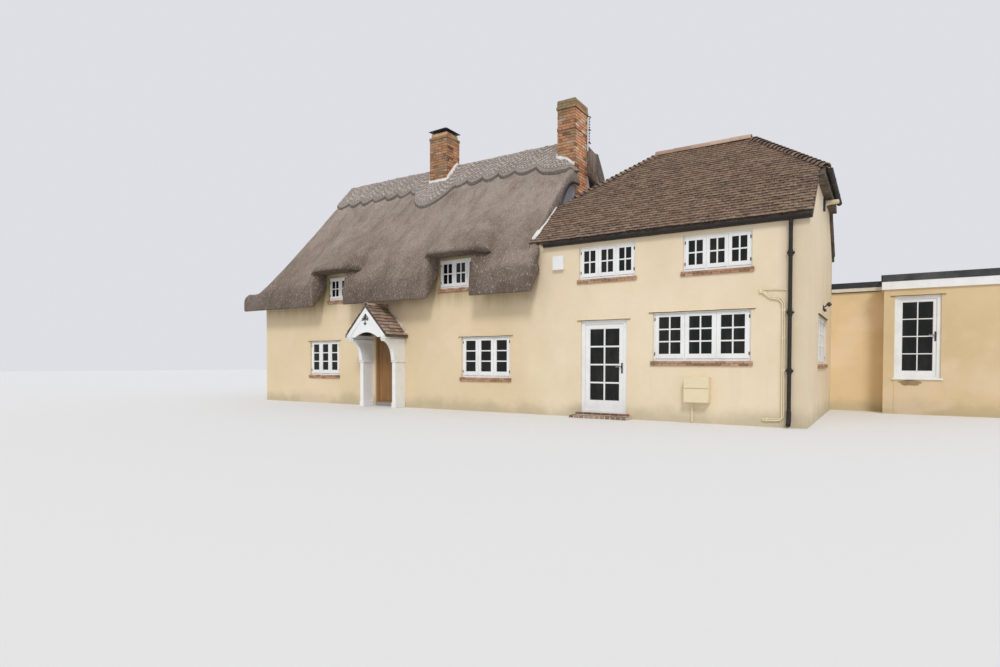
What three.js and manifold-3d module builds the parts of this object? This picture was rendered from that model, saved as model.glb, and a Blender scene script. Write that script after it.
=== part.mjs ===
// A thatched cottage with a tiled wing and a flat-roofed garden room, in millimetres, +Z up.
// X runs along the garden front to the right, Y runs away from the garden, Z = 0 is the patio.
// The origin is where the centre lines of the wing's front wall and gable wall cross at the ground.
import * as THREE from 'three';
import { mergeVertices } from 'three/addons/utils/BufferGeometryUtils.js';
import Module from 'manifold-3d';

const wasm = await Module();
wasm.setup();

// Driving dimensions of the plan
const WING_WALL = 300;
const COTTAGE_WALL = 450;
const PARTY_WALL = 400;
const FRONT = -WING_WALL / 2;
const DEPTH = 5400;
const BACK = FRONT + DEPTH;
const RIDGE_Y = (FRONT + BACK) / 2;
const WING_RIGHT = WING_WALL / 2;
const WING_LEFT = -5500;
const PARTY_LEFT = WING_LEFT - PARTY_WALL;
const COTTAGE_LEFT = -14850;
const GAP = 0.5;

// Storeys
const GROUND_FLOOR = 103;
const COTTAGE_UPPER_FLOOR = 2200;
const WING_UPPER_FLOOR = 2500;
const UPPER_FLOOR_DEPTH = 160;
const GARDEN_ROOM_FLOOR = 820;
const ABOVE_ALL = 9500;

// Thatch: one coat on two slopes, a swept hip at the left end and a small half hip at the right
const THATCH_SLOPE = 1.17;
const THATCH_RIDGE = 6915;
const THATCH_RIDGE_RADIUS = 70;
const THATCH_DEPTH = 585;
const THATCH_OVERHANG = 530;
const THATCH_FRONT_EAVE = FRONT - THATCH_OVERHANG;
const THATCH_BACK_EAVE = BACK + THATCH_OVERHANG;
const THATCH_LEFT = COTTAGE_LEFT - 350;
const THATCH_RIGHT = -5110;
const SWEPT_HIP_TOP = -13900;
const SWEPT_HIP_POWER = 5;
const SWEPT_HIP_DEPTH = 420;
const SWEPT_HIP_INSET = 300;
const HALF_HIP_TOP = -6050;
const HALF_HIP_SLOPE = 1.3;
const THATCH_BLEND = 260;
const NOSE_TOP = { reach: 150, drop: 190 };
const NOSE_BOTTOM = { reach: 110, rise: 120 };
const BROW_TOP_LIFT = 800;
const BROW_LIP_LIFT = 1000;
const BROW_LENGTH = 2200;
const BROW_CHEEK = 40;
const BROW_SPLAY = { left: 100, right: 200 };
const BROW_SHOULDER = { left: 900, inside: 250, right: 1000 };
const BROW_LIP = { back: 240, steep: 290, soft: 1100, length: 350 };
const BROWS = [
  { side: 'front', left: -12110, right: -10960, lift: 0.88 },
  { side: 'front', left: -8070, right: -6830, lift: 1 },
  { side: 'back', left: -12110, right: -10960, lift: 0.95 },
  { side: 'back', left: -8070, right: -6830, lift: 0.95 },
];

// Block ridge of the thatch, with scallops and a round apron below the left chimney
const CAP_THICKNESS = 110;
const CAP_REACH = 690;
const SCALLOP_PERIOD = 520;
const SCALLOP_DEPTH = 110;
const APRON = { x: -9800, halfWidth: 900, reach: 1250 };
const CAP_END_REACH = 960;

// Tiled roof of the wing
const TILE_SLOPE = 0.875;
const TILE_EAVE_Z = 3856;
const TILE_EAVE_OUT = 20;
const TILE_ROOF_DEPTH = 150;
const TILE_FRONT_EAVE = FRONT - TILE_EAVE_OUT;
const TILE_RIDGE_Z = TILE_EAVE_Z + TILE_SLOPE * (RIDGE_Y - TILE_FRONT_EAVE);
const TILE_RIDGE_LEFT = -3350;
const TILE_RIDGE_RIGHT = -1360;
const LEFT_HIP_SLOPE = 0.68;
const RIGHT_HIP_SLOPE = 0.817;
const TILE_VERGE = WING_RIGHT + 50;
const HALF_HIP_EAVE_X = 300;
const HALF_HIP_SOFFIT = 4700;

// Chimneys, as plan rectangles
const LEFT_STACK = { x0: -10160, x1: -9530, y0: 2050, y1: 2650, top: 7800 };
const CROWN = { inset: 40, high: 120 };
const COWL = { half: 345, high: 180, clear: 65, legX: 220, legY: 200, legHalf: 15 };
const RIGHT_STACK = { x0: PARTY_LEFT, x1: -5410, y0: 2000, y1: 2740, top: 7890 };
const STACK_SEAT = 4900;
const BRICK_COURSE = 75;

// Windows of the fronts: x is the left edge in the wall, lights are the casements
const FRONT_WINDOWS = [
  { name: 'window_wing_upper_left', x: -4268, sill: 2937, width: 1246, height: 706, lights: 3 },
  { name: 'window_wing_upper_right', x: -2052, sill: 2935, width: 1267, height: 699, lights: 3 },
  { name: 'window_wing_lower', x: -2643, sill: 1194, width: 1848, height: 972, lights: 3 },
  { name: 'window_cottage_lower_left', x: -12842, sill: 798, width: 1190, height: 980, lights: 3 },
  { name: 'window_cottage_lower_right', x: -7391, sill: 800, width: 1384, height: 985, lights: 3 },
  { name: 'window_cottage_upper_left', x: -12058, sill: 2905, width: 1250, height: 640, lights: 3 },
  { name: 'window_cottage_upper_right', x: -8069, sill: 2985, width: 1250, height: 705, lights: 3 },
];
const BACK_WINDOWS = [
  { name: 'window_back_lower_left', x: -12300, sill: 800, width: 1250, height: 980, lights: 3 },
  { name: 'window_back_lower_right', x: -8150, sill: 800, width: 1250, height: 980, lights: 3 },
  { name: 'window_back_upper_left', x: -12100, sill: 2950, width: 1250, height: 700, lights: 3 },
  { name: 'window_back_upper_right', x: -8070, sill: 2950, width: 1250, height: 700, lights: 3 },
  { name: 'window_back_wing', x: -3900, sill: 2800, width: 1250, height: 700, lights: 3 },
];
const GABLE_WINDOW = { name: 'window_gable', y: 1750, sill: 1140, width: 2000, height: 1020, lights: 3 };
const FRAME_SETBACK = 45;
const FRAME_DEPTH = 90;
const FRAME_WIDTH = 60;
const PANE = 12;

// Doors: x is the left edge of the frame
const WING_DOOR = {
  x: -4216, sill: GROUND_FLOOR, width: 1025, height: 1960, rail: 110, foot: 220, handleIn: 55,
  glazed: true,
};
const FRONT_DOOR = {
  x: -10250, sill: GROUND_FLOOR, width: 900, height: 1860, handleIn: 55, glazed: false,
};
const GARDEN_DOOR = {
  x: 1477, sill: 829, width: 876, height: 1890, rail: 76, foot: 125, handleIn: 38, glazed: true,
};
const DOOR_SETBACK = 40;
const LEAF = 45;
const LEAF_CLEARANCE = 5;
const STOP = 18;
const STOP_DEPTH = 20;
const SILL_RISE = 30;
const HINGE_RADIUS = 8;
const PIN_RADIUS = 4.5;
const PIN_CLEARANCE = 0.3;
const KNUCKLE = 45;
const HINGE_OFF_FACE = 8.6;
const HINGE_SIDES = 16;

// Garden room and the link behind the wing
const ROOM_WALL = 200;
const ROOM_LEFT = 1264;
const ROOM_RIGHT = 3650;
const ROOM_FRONT = 4650;
const LINK_LEFT = -1900;
const LINK_FRONT = BACK;
const ANNEXE_BACK = 8000;
const ROOM_CEILING = 2960;
const LINK_CEILING = 2910;
const ROOM_ROOF_TOP = 3215;
const LINK_ROOF_TOP = 3150;
const ROOM_FASCIA_OUT = 40;

// Porch hood of the front door
const PORCH = {
  x: -9820, halfWidth: 715, front: -930, ridge: 2610, slope: 1.057, roofDepth: 60, roofProud: 25,
  gableThickness: 40, gableHalfWidth: 640, gableFoot: 1800, archHalfWidth: 400, archRise: 130,
  panelFront: -520, panelInner: 510, panelOuter: 620, capHeight: 1225, capBand: 45, capProud: 15,
  plateHigh: 1865, plateLow: 1760,
};

// Rainwater goods and boxes on the walls
const GUTTER = { radius: 58, wall: 6, offFace: 62, sides: 12, bracketPitch: 900 };
const EAVE_GUTTER_TOP = 3770;
const EAVE_GUTTER_LEFT = -5090;
const EAVE_GUTTER_RIGHT = 195;
const HIP_GUTTER_TOP = 4870;
const HIP_GUTTER_END = 1050;
const DOWNPIPE = { x: -140, radius: 34, offWall: 62, foot: 140, sides: 12 };
const ALARM_BOX = { x: -4875, z: 3190, width: 258, height: 300, depth: 75 };
const METER_BOX = { x: -1974, z: 400, width: 477, height: 490, depth: 210 };

// Materials
function finish(color, roughness, metalness = 0) {
  return new THREE.MeshStandardMaterial({ color, roughness, metalness });
}
const render = finish(0xe3c890, 0.95);
const thatchStraw = finish(0x6f6259, 1);
const blockRidge = finish(0x857a6e, 1);
const clayTile = finish(0x6b4f3f, 0.9);
const ridgeClay = finish(0x7a5240, 0.9);
const brick = finish(0xa0573a, 0.9);
const whitePaint = finish(0xf0f0ee, 0.5);
const oak = finish(0xa4692f, 0.6);
const glass = finish(0x1c211e, 0.1);
const blackPlastic = finish(0x17181a, 0.5);
const blackIron = finish(0x222222, 0.6, 0.6);
const creamPaint = finish(0xddc79a, 0.6);
const boards = finish(0x8b6a48, 0.8);
const slab = finish(0x9b958a, 0.95);
const roofFelt = finish(0x35383c, 0.9);

const cottage = new THREE.Group();

function add(name, geometry, material) {
  const mesh = new THREE.Mesh(geometry, material);
  mesh.name = name;
  cottage.add(mesh);
}

// A closed three.js geometry as a solid that can be joined and cut
function solid(geometry) {
  const bare = geometry.clone();
  bare.deleteAttribute('normal');
  bare.deleteAttribute('uv');
  const merged = mergeVertices(bare, 1e-3);
  return new wasm.Manifold(new wasm.Mesh({
    numProp: 3,
    vertProperties: new Float32Array(merged.attributes.position.array),
    triVerts: new Uint32Array(merged.index.array),
  }));
}

function geometryOf(body) {
  const mesh = body.getMesh();
  const geometry = new THREE.BufferGeometry();
  const points = [];
  for (let i = 0; i < mesh.vertProperties.length; i += mesh.numProp) {
    points.push(mesh.vertProperties[i], mesh.vertProperties[i + 1], mesh.vertProperties[i + 2]);
  }
  geometry.setAttribute('position', new THREE.Float32BufferAttribute(points, 3));
  geometry.setIndex(Array.from(mesh.triVerts));
  geometry.computeVertexNormals();
  return geometry;
}

// A box between two corners
function block(x0, y0, z0, x1, y1, z1) {
  const geometry = new THREE.BoxGeometry(x1 - x0, y1 - y0, z1 - z0);
  geometry.translate((x0 + x1) / 2, (y0 + y1) / 2, (z0 + z1) / 2);
  return solid(geometry);
}

function joined(bodies) {
  return bodies.reduce((sum, body) => sum.add(body));
}

function without(body, cutters) {
  return cutters.reduce((rest, cutter) => rest.subtract(cutter), body);
}

function outline(points) {
  return new THREE.Shape(points.map(([a, b]) => new THREE.Vector2(a, b)));
}

// A profile in Y and Z, extruded along X
function alongX(points, x0, x1) {
  const geometry = new THREE.ExtrudeGeometry(outline(points), { depth: x1 - x0, bevelEnabled: false });
  const turn = new THREE.Matrix4().makeBasis(
    new THREE.Vector3(0, 1, 0), new THREE.Vector3(0, 0, 1), new THREE.Vector3(1, 0, 0));
  geometry.applyMatrix4(turn);
  geometry.translate(x0, 0, 0);
  return solid(geometry);
}

// A profile in X and Z, extruded along Y
function alongY(points, y0, y1) {
  const geometry = new THREE.ExtrudeGeometry(outline(points), { depth: y1 - y0, bevelEnabled: false });
  geometry.rotateX(Math.PI / 2);
  geometry.translate(0, y1, 0);
  return solid(geometry);
}

// An upright post with a round section
function post(x, y, z0, z1, radius, sides) {
  const geometry = new THREE.CylinderGeometry(radius, radius, z1 - z0, sides);
  geometry.rotateX(Math.PI / 2);
  geometry.translate(x, y, (z0 + z1) / 2);
  return solid(geometry);
}

// A closed body between two grids of points that share their rims, top above bottom. Each square
// folds along its higher diagonal, so a hip keeps one clean edge.
function between(top, bottom) {
  const rows = top.length;
  const columns = top[0].length;
  const points = [...top.flat(), ...bottom.flat()].flat();
  const at = (layer, i, j) => layer * rows * columns + i * columns + j;
  const triangles = [];
  const height = (corner) => points[3 * corner + 2];
  const quad = (a, b, c, d) => {
    if (height(a) + height(c) >= height(b) + height(d)) triangles.push(a, b, c, a, c, d);
    else triangles.push(b, c, d, b, d, a);
  };
  for (let i = 0; i < rows - 1; i += 1) {
    for (let j = 0; j < columns - 1; j += 1) {
      quad(at(0, i, j), at(0, i + 1, j), at(0, i + 1, j + 1), at(0, i, j + 1));
      quad(at(1, i, j), at(1, i, j + 1), at(1, i + 1, j + 1), at(1, i + 1, j));
    }
    quad(at(1, i, 0), at(1, i + 1, 0), at(0, i + 1, 0), at(0, i, 0));
    const last = columns - 1;
    quad(at(0, i, last), at(0, i + 1, last), at(1, i + 1, last), at(1, i, last));
  }
  for (let j = 0; j < columns - 1; j += 1) {
    quad(at(0, 0, j), at(0, 0, j + 1), at(1, 0, j + 1), at(1, 0, j));
    quad(at(1, rows - 1, j), at(1, rows - 1, j + 1), at(0, rows - 1, j + 1), at(0, rows - 1, j));
  }
  const geometry = new THREE.BufferGeometry();
  geometry.setAttribute('position', new THREE.Float32BufferAttribute(points, 3));
  geometry.setIndex(triangles);
  return geometry;
}

// Thatch surfaces
function smooth(from, to, value) {
  const t = Math.min(Math.max((value - from) / (to - from), 0), 1);
  return t * t * (3 - 2 * t);
}

function softMin(a, b, width) {
  const near = Math.max(width - Math.abs(a - b), 0) / width;
  return Math.min(a, b) - near * near * width / 4;
}

function slopeHeight(y) {
  const run = Math.hypot(y - RIDGE_Y, THATCH_RIDGE_RADIUS) - THATCH_RIDGE_RADIUS;
  return THATCH_RIDGE - THATCH_SLOPE * run;
}

const EAVE_TOP = slopeHeight(THATCH_FRONT_EAVE);

function sweptHip(x) {
  const along = Math.min(Math.max((x - THATCH_LEFT) / (SWEPT_HIP_TOP - THATCH_LEFT), 0), 1.5);
  return EAVE_TOP + (THATCH_RIDGE - EAVE_TOP) * along ** SWEPT_HIP_POWER;
}

// The half hip falls only in front of the right stack: behind it the ridge runs on to the verge
function halfHip(x, y) {
  const past = x - HALF_HIP_TOP;
  const share = past > 0 ? 1 - smooth(RIGHT_STACK.y0, RIGHT_STACK.y1, y) : 1;
  return THATCH_RIDGE + THATCH_BLEND / 2 - HALF_HIP_SLOPE * past * share;
}

function browFade(brow, y) {
  const fromEave = brow.side === 'front' ? y - THATCH_FRONT_EAVE : THATCH_BACK_EAVE - y;
  return { fromEave, fade: Math.min(Math.max(1 - fromEave / BROW_LENGTH, 0), 1) ** 1.5 };
}

// Below its lip a brow stands between two upright cheeks, which splay apart towards the wall
function cheek(at, x) {
  return smooth(at - BROW_CHEEK, at + BROW_CHEEK, x);
}

function browUnderside(brow, x, y) {
  const { fromEave, fade } = browFade(brow, y);
  const splay = smooth(BROW_LIP.back, BROW_LIP.back + BROW_LIP.steep, fromEave);
  const left = cheek(brow.left - splay * BROW_SPLAY.left, x);
  const right = cheek(brow.right + splay * BROW_SPLAY.right, x);
  return brow.lift * fade * left * (1 - right);
}

// On top the coat swells widely, and on the right its lip runs past the cheek and dies away
function browTop(brow, x, y) {
  const { fromEave, fade } = browFade(brow, y);
  const left = smooth(brow.left - BROW_SHOULDER.left, brow.left + BROW_SHOULDER.inside, x);
  const overLip = smooth(brow.right - BROW_SHOULDER.inside, brow.right + BROW_SHOULDER.right, x);
  const rise = BROW_LIP.steep + BROW_LIP.soft * smooth(brow.right, brow.right + BROW_LIP.length, x);
  const above = smooth(BROW_LIP.back, BROW_LIP.back + rise, fromEave);
  const right = overLip * above + cheek(brow.right, x) * (1 - above);
  return brow.lift * fade * left * (1 - right);
}

function round(distance, reach, amount) {
  const short = Math.min(Math.max(1 - distance / reach, 0), 1);
  return amount * (1 - Math.sqrt(1 - short * short));
}

function fromThatchEdge(x, y) {
  const alongX0 = x - THATCH_LEFT;
  const alongX1 = THATCH_RIGHT - x;
  return Math.max(Math.min(alongX0, alongX1, y - THATCH_FRONT_EAVE, THATCH_BACK_EAVE - y), 0);
}

function thatchTop(x, y) {
  const lift = BROW_TOP_LIFT * Math.max(...BROWS.map((brow) => browTop(brow, x, y)));
  const slope = slopeHeight(y) + lift;
  const ends = softMin(sweptHip(x), halfHip(x, y), THATCH_BLEND);
  return softMin(slope, ends, THATCH_BLEND) - round(fromThatchEdge(x, y), NOSE_TOP.reach, NOSE_TOP.drop);
}

function thatchBottom(x, y) {
  const lift = BROW_LIP_LIFT * Math.max(...BROWS.map((brow) => browUnderside(brow, x, y)));
  const slope = slopeHeight(y) + lift - THATCH_DEPTH;
  const ends = Math.min(sweptHip(x - SWEPT_HIP_INSET) - SWEPT_HIP_DEPTH, halfHip(x, y) - THATCH_DEPTH);
  return softMin(slope, ends, THATCH_BLEND / 2)
    + round(fromThatchEdge(x, y), NOSE_BOTTOM.reach, NOSE_BOTTOM.rise);
}

// Rows up a slope, and stations along it: the swept hip's edge crosses a corner of every row, and
// the cheeks of the brows, which the back repeats, have stations of their own
const FROM_EAVE = [0, 35, 110, 240, 530, 980, 1400, 1800, 2200, 2700, 3040, 3170];

function sweptHipStation(fromEave) {
  const climbed = (slopeHeight(THATCH_FRONT_EAVE + fromEave) - EAVE_TOP) / (THATCH_RIDGE - EAVE_TOP);
  return THATCH_LEFT + (SWEPT_HIP_TOP - THATCH_LEFT) * climbed ** (1 / SWEPT_HIP_POWER);
}

function thatchStations() {
  const left = [40, 140, 320, 1420].map((offset) => THATCH_LEFT + offset);
  const right = [0, 40, 140, 420, 740, 1060].map((offset) => THATCH_RIGHT - offset);
  const cheeks = BROWS.filter((brow) => brow.side === 'front').flatMap((brow) => [
    brow.left - BROW_SHOULDER.left, brow.left - 450, brow.left - BROW_SPLAY.left - BROW_CHEEK,
    brow.left - BROW_CHEEK, brow.left + BROW_CHEEK, brow.left + BROW_SHOULDER.inside,
    (brow.left + brow.right) / 2, brow.right - BROW_CHEEK, brow.right + BROW_CHEEK,
    brow.right + BROW_SPLAY.right - BROW_CHEEK, brow.right + BROW_SPLAY.right + BROW_CHEEK,
    brow.right + BROW_LIP.length, brow.right + 650, brow.right + BROW_SHOULDER.right,
  ]);
  return [...left, ...FROM_EAVE.map(sweptHipStation), ...cheeks, ...right].sort((a, b) => a - b);
}
const STATIONS = thatchStations();

function grid(xs, ys, height) {
  return xs.map((x) => ys.map((y) => [x, y, height(x, y)]));
}

function frontRows() {
  return [...FROM_EAVE.map((offset) => THATCH_FRONT_EAVE + offset), RIDGE_Y];
}

function backRows() {
  return [RIDGE_Y, ...FROM_EAVE.map((offset) => THATCH_BACK_EAVE - offset).reverse()];
}

function thatchBody(ys, grow) {
  const top = grid(STATIONS, ys, (x, y) => thatchTop(x, y) + grow);
  const bottom = grid(STATIONS, ys, (x, y) => thatchBottom(x, y) - grow);
  return solid(between(top, bottom));
}

// Everything above the thatch's underside, a hair larger, which trims the walls below it
function spaceAboveUnderside(ys) {
  const top = grid(STATIONS, ys, () => ABOVE_ALL);
  const bottom = grid(STATIONS, ys, (x, y) => thatchBottom(x, y) - GAP);
  return solid(between(top, bottom));
}

function stackHole({ x0, x1, y0, y1 }) {
  return block(x0 - GAP, y0 - GAP, 0, x1 + GAP, y1 + GAP, ABOVE_ALL);
}

const wholeRows = [...frontRows(), ...backRows().slice(1)];
const underThatch = spaceAboveUnderside(wholeRows);
// At the verge the straw stops at the right stack's sides and leaves its outer face bare
const bareFace = block(RIGHT_STACK.x1 - 10, RIGHT_STACK.y0 - GAP, 0, THATCH_RIGHT + 200,
  RIGHT_STACK.y1 + GAP, ABOVE_ALL);
const stackHoles = [stackHole(LEFT_STACK), stackHole(RIGHT_STACK).add(bareFace)];
add('thatch_front_slope', geometryOf(without(thatchBody(frontRows(), 0), stackHoles)), thatchStraw);
add('thatch_rear_slope', geometryOf(without(thatchBody(backRows(), 0), stackHoles)), thatchStraw);

// Block ridge: a saddle that rests on both slopes
function capReach(x) {
  const wave = Math.abs(Math.sin(Math.PI * (x - SWEPT_HIP_TOP) / SCALLOP_PERIOD));
  const towardsApron = Math.max(1 - ((x - APRON.x) / APRON.halfWidth) ** 2, 0);
  const apron = APRON.reach * Math.sqrt(towardsApron);
  const endCurve = CAP_REACH + (CAP_END_REACH - CAP_REACH) * smooth(-6300, THATCH_RIGHT, x);
  const inEnd = smooth(-6300, -6200, x);
  const scalloped = CAP_REACH - SCALLOP_DEPTH / 2 + SCALLOP_DEPTH * wave;
  return Math.max(scalloped * (1 - inEnd) + endCurve * inEnd, apron);
}

function ridgeCap() {
  const step = SCALLOP_PERIOD / 4;
  const left = SWEPT_HIP_TOP - 30;
  const right = THATCH_RIGHT + 20;
  const count = Math.floor((right - left) / step);
  const xs = Array.from({ length: count + 1 }, (_, i) => left + (right - left) * i / count);
  const across = [-1, -0.6, -0.25, -0.08, 0, 0.08, 0.25, 0.6, 1];
  const place = (lift) => xs.map((x) => across.map((share) => {
    const y = RIDGE_Y + share * capReach(x);
    return [x, y, thatchTop(Math.min(x, THATCH_RIGHT - NOSE_TOP.reach), y) + lift];
  }));
  const coat = thatchBody(wholeRows, GAP);
  return without(solid(between(place(CAP_THICKNESS), place(-CAP_THICKNESS))), [coat, ...stackHoles]);
}
add('thatch_ridge_cap', geometryOf(ridgeCap()), blockRidge);

// Brick stacks with oversailing courses; the left one narrows to a crown under its cowl
function stack({ x0, x1, y0, y1, top }, base, bands) {
  const shaft = block(x0, y0, base, x1, y1, top - BRICK_COURSE / 2);
  const courses = bands.map(([down, out, high]) => block(
    x0 - out, y0 - out, top - down - high, x1 + out, y1 + out, top - down));
  return joined([shaft, ...courses]);
}
const leftBands = [[0, 13, BRICK_COURSE], [-CROWN.high, -CROWN.inset, CROWN.high + BRICK_COURSE]];
const rightBands = [
  [0, 8, BRICK_COURSE * 2], [BRICK_COURSE * 2, 25, BRICK_COURSE], [700, 10, BRICK_COURSE],
];
add('left_chimney', geometryOf(stack(LEFT_STACK, GROUND_FLOOR, leftBands)), brick);
add('right_chimney', geometryOf(stack(RIGHT_STACK, STACK_SEAT, rightBands)), brick);

// Metal cowl on four legs over the left flue
function cowl() {
  const cx = (LEFT_STACK.x0 + LEFT_STACK.x1) / 2;
  const cy = (LEFT_STACK.y0 + LEFT_STACK.y1) / 2;
  const crownTop = LEFT_STACK.top + CROWN.high;
  const plateZ = crownTop + COWL.clear;
  const pyramid = new THREE.CylinderGeometry(20, COWL.half * Math.SQRT2, COWL.high, 4);
  pyramid.rotateY(Math.PI / 4);
  pyramid.rotateX(Math.PI / 2);
  pyramid.translate(cx, cy, plateZ + COWL.high / 2);
  const legs = [-1, 1].flatMap((sx) => [-1, 1].map((sy) => {
    const x = cx + sx * COWL.legX;
    const y = cy + sy * COWL.legY;
    return block(
      x - COWL.legHalf, y - COWL.legHalf, crownTop, x + COWL.legHalf, y + COWL.legHalf, plateZ + 20);
  }));
  return joined([solid(pyramid), ...legs]);
}
add('chimney_cowl', geometryOf(cowl()), blackIron);

// Tiled roof: a shell between two hipped forms, trimmed where the thatch overhangs it
const TILE_BACK_EAVE = 2 * RIDGE_Y - TILE_FRONT_EAVE;

function hipHeight(x) {
  const left = TILE_RIDGE_Z - LEFT_HIP_SLOPE * (TILE_RIDGE_LEFT - x);
  const right = TILE_RIDGE_Z - RIGHT_HIP_SLOPE * (x - TILE_RIDGE_RIGHT);
  return Math.min(left, right, TILE_RIDGE_Z);
}

function slopesForm(low, drop, x0, x1) {
  return alongX([
    [TILE_FRONT_EAVE, low], [TILE_FRONT_EAVE, TILE_EAVE_Z - drop], [RIDGE_Y, TILE_RIDGE_Z - drop],
    [TILE_BACK_EAVE, TILE_EAVE_Z - drop], [TILE_BACK_EAVE, low],
  ], x0, x1);
}

function outerRoof(low) {
  const ends = alongY([
    [WING_LEFT + GAP, low - 10], [TILE_VERGE, low - 10], [TILE_VERGE, HALF_HIP_SOFFIT],
    [HALF_HIP_EAVE_X, HALF_HIP_SOFFIT], [HALF_HIP_EAVE_X, hipHeight(HALF_HIP_EAVE_X)],
    [TILE_RIDGE_RIGHT, TILE_RIDGE_Z], [TILE_RIDGE_LEFT, TILE_RIDGE_Z],
    [WING_LEFT + GAP, hipHeight(WING_LEFT)],
  ], TILE_FRONT_EAVE - 10, TILE_BACK_EAVE + 10);
  return slopesForm(low, 0, WING_LEFT - 10, HALF_HIP_EAVE_X + 10).intersect(ends);
}

// The space below the roof's underside, open at both gables
function roofSpace(low, drop) {
  const leftEnd = WING_LEFT - 30;
  const ends = alongY([
    [leftEnd, low - 10], [TILE_VERGE + 20, low - 10], [TILE_VERGE + 20, HALF_HIP_SOFFIT],
    [WING_RIGHT, HALF_HIP_SOFFIT], [WING_RIGHT, hipHeight(WING_RIGHT) - drop],
    [TILE_RIDGE_RIGHT, TILE_RIDGE_Z - drop], [TILE_RIDGE_LEFT, TILE_RIDGE_Z - drop],
    [leftEnd, hipHeight(leftEnd) - drop],
  ], TILE_FRONT_EAVE - 30, TILE_BACK_EAVE + 30);
  const slopes = alongX([
    [TILE_FRONT_EAVE - 20, low - 5], [TILE_FRONT_EAVE - 20, TILE_EAVE_Z - drop - 20 * TILE_SLOPE],
    [RIDGE_Y, TILE_RIDGE_Z - drop], [TILE_BACK_EAVE + 20, TILE_EAVE_Z - drop - 20 * TILE_SLOPE],
    [TILE_BACK_EAVE + 20, low - 5],
  ], leftEnd - 10, HALF_HIP_EAVE_X + 20);
  return slopes.intersect(ends);
}

const ROOF_LOW = 3000;
const thatchAndParty = thatchBody(wholeRows, 3).add(
  block(PARTY_LEFT - 500, FRONT - 500, 0, WING_LEFT, BACK + 500, THATCH_RIDGE));
const roofShell = outerRoof(ROOF_LOW).subtract(roofSpace(ROOF_LOW, TILE_ROOF_DEPTH));
const tiledRoof = roofShell.subtract(thatchAndParty);
add('tiled_roof', geometryOf(tiledRoof), clayTile);

// Half-round clay tiles along the ridge and bonnet tiles down the hips, as rolls on the tiled faces
function roll(from, to, radius) {
  const path = new THREE.LineCurve3(new THREE.Vector3(...from), new THREE.Vector3(...to));
  const section = new THREE.Shape();
  section.absarc(0, 0, radius, 0, 2 * Math.PI, false);
  return solid(new THREE.ExtrudeGeometry(section, {
    steps: 1, curveSegments: 8, bevelEnabled: false, extrudePath: path,
  }));
}

function ridgeAndHipTiles() {
  const radius = 95;
  const sink = 10;
  const top = TILE_RIDGE_Z - sink;
  const rightRun = (TILE_RIDGE_Z - hipHeight(HALF_HIP_EAVE_X)) / TILE_SLOPE;
  const rightZ = hipHeight(HALF_HIP_EAVE_X) - sink;
  const rightFoot = (side) => [HALF_HIP_EAVE_X, RIDGE_Y + side * rightRun, rightZ];
  const leftEnd = -5020;
  const leftRun = (TILE_RIDGE_Z - hipHeight(leftEnd)) / TILE_SLOPE;
  const leftFoot = (side) => [leftEnd, RIDGE_Y + side * leftRun, hipHeight(leftEnd) - sink];
  const leftTop = [TILE_RIDGE_LEFT, RIDGE_Y, top];
  const rightTop = [TILE_RIDGE_RIGHT, RIDGE_Y, top];
  const rolls = [
    roll([TILE_RIDGE_LEFT - 60, RIDGE_Y, top], [TILE_RIDGE_RIGHT + 60, RIDGE_Y, top], radius),
  ];
  for (const side of [-1, 1]) {
    rolls.push(roll(leftTop, leftFoot(side), radius));
    rolls.push(roll(rightTop, rightFoot(side), radius));
  }
  const bed = outerRoof(ROOF_LOW).translate([0, 0, GAP]);
  const pastEave = block(HALF_HIP_EAVE_X, FRONT, ROOF_LOW, HALF_HIP_EAVE_X + 500, BACK, TILE_RIDGE_Z);
  return without(joined(rolls), [bed, thatchAndParty, pastEave]);
}
add('ridge_and_hip_tiles', geometryOf(ridgeAndHipTiles()), ridgeClay);

// Walls: each is cut through for its windows, and its top follows the roof above it
const underTiles = roofSpace(0, TILE_ROOF_DEPTH + GAP);

function windowHole(w, y0, y1) {
  return block(w.x, y0 - 50, w.sill, w.x + w.width, y1 + 50, w.sill + w.height);
}

function holesBetween(windows, x0, x1, y0, y1) {
  return windows.filter((w) => w.x > x0 && w.x < x1).map((w) => windowHole(w, y0, y1));
}

function longWall(x0, x1, y0, y1, z0, z1, windows) {
  return without(block(x0, y0, z0, x1, y1, z1), holesBetween(windows, x0, x1, y0, y1));
}

function cottageWall(x0, x1, y0, y1, z0, z1, windows) {
  return longWall(x0, x1, y0, y1, z0, z1, windows).subtract(underThatch);
}

const COTTAGE_TOP = 4400;
const FRONT_INSIDE = FRONT + COTTAGE_WALL;
const BACK_INSIDE = BACK - COTTAGE_WALL;
const doorLeft = FRONT_DOOR.x;
const doorRight = FRONT_DOOR.x + FRONT_DOOR.width;
const doorHead = FRONT_DOOR.sill + FRONT_DOOR.height;
add('cottage_front_wall_left', geometryOf(
  cottageWall(COTTAGE_LEFT, doorLeft, FRONT, FRONT_INSIDE, 0, COTTAGE_TOP, FRONT_WINDOWS)), render);
add('cottage_front_wall_right', geometryOf(
  cottageWall(doorRight, PARTY_LEFT, FRONT, FRONT_INSIDE, 0, COTTAGE_TOP, FRONT_WINDOWS)), render);
add('cottage_front_wall_over_door', geometryOf(
  cottageWall(doorLeft, doorRight, FRONT, FRONT_INSIDE, doorHead, COTTAGE_TOP, [])), render);
add('cottage_back_wall', geometryOf(
  cottageWall(COTTAGE_LEFT, PARTY_LEFT, BACK_INSIDE, BACK, 0, COTTAGE_TOP, BACK_WINDOWS)), render);

const endWall = block(
  COTTAGE_LEFT, FRONT_INSIDE, 0, COTTAGE_LEFT + COTTAGE_WALL, BACK_INSIDE, COTTAGE_TOP);
add('cottage_end_wall', geometryOf(endWall.subtract(underThatch)), render);

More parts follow.
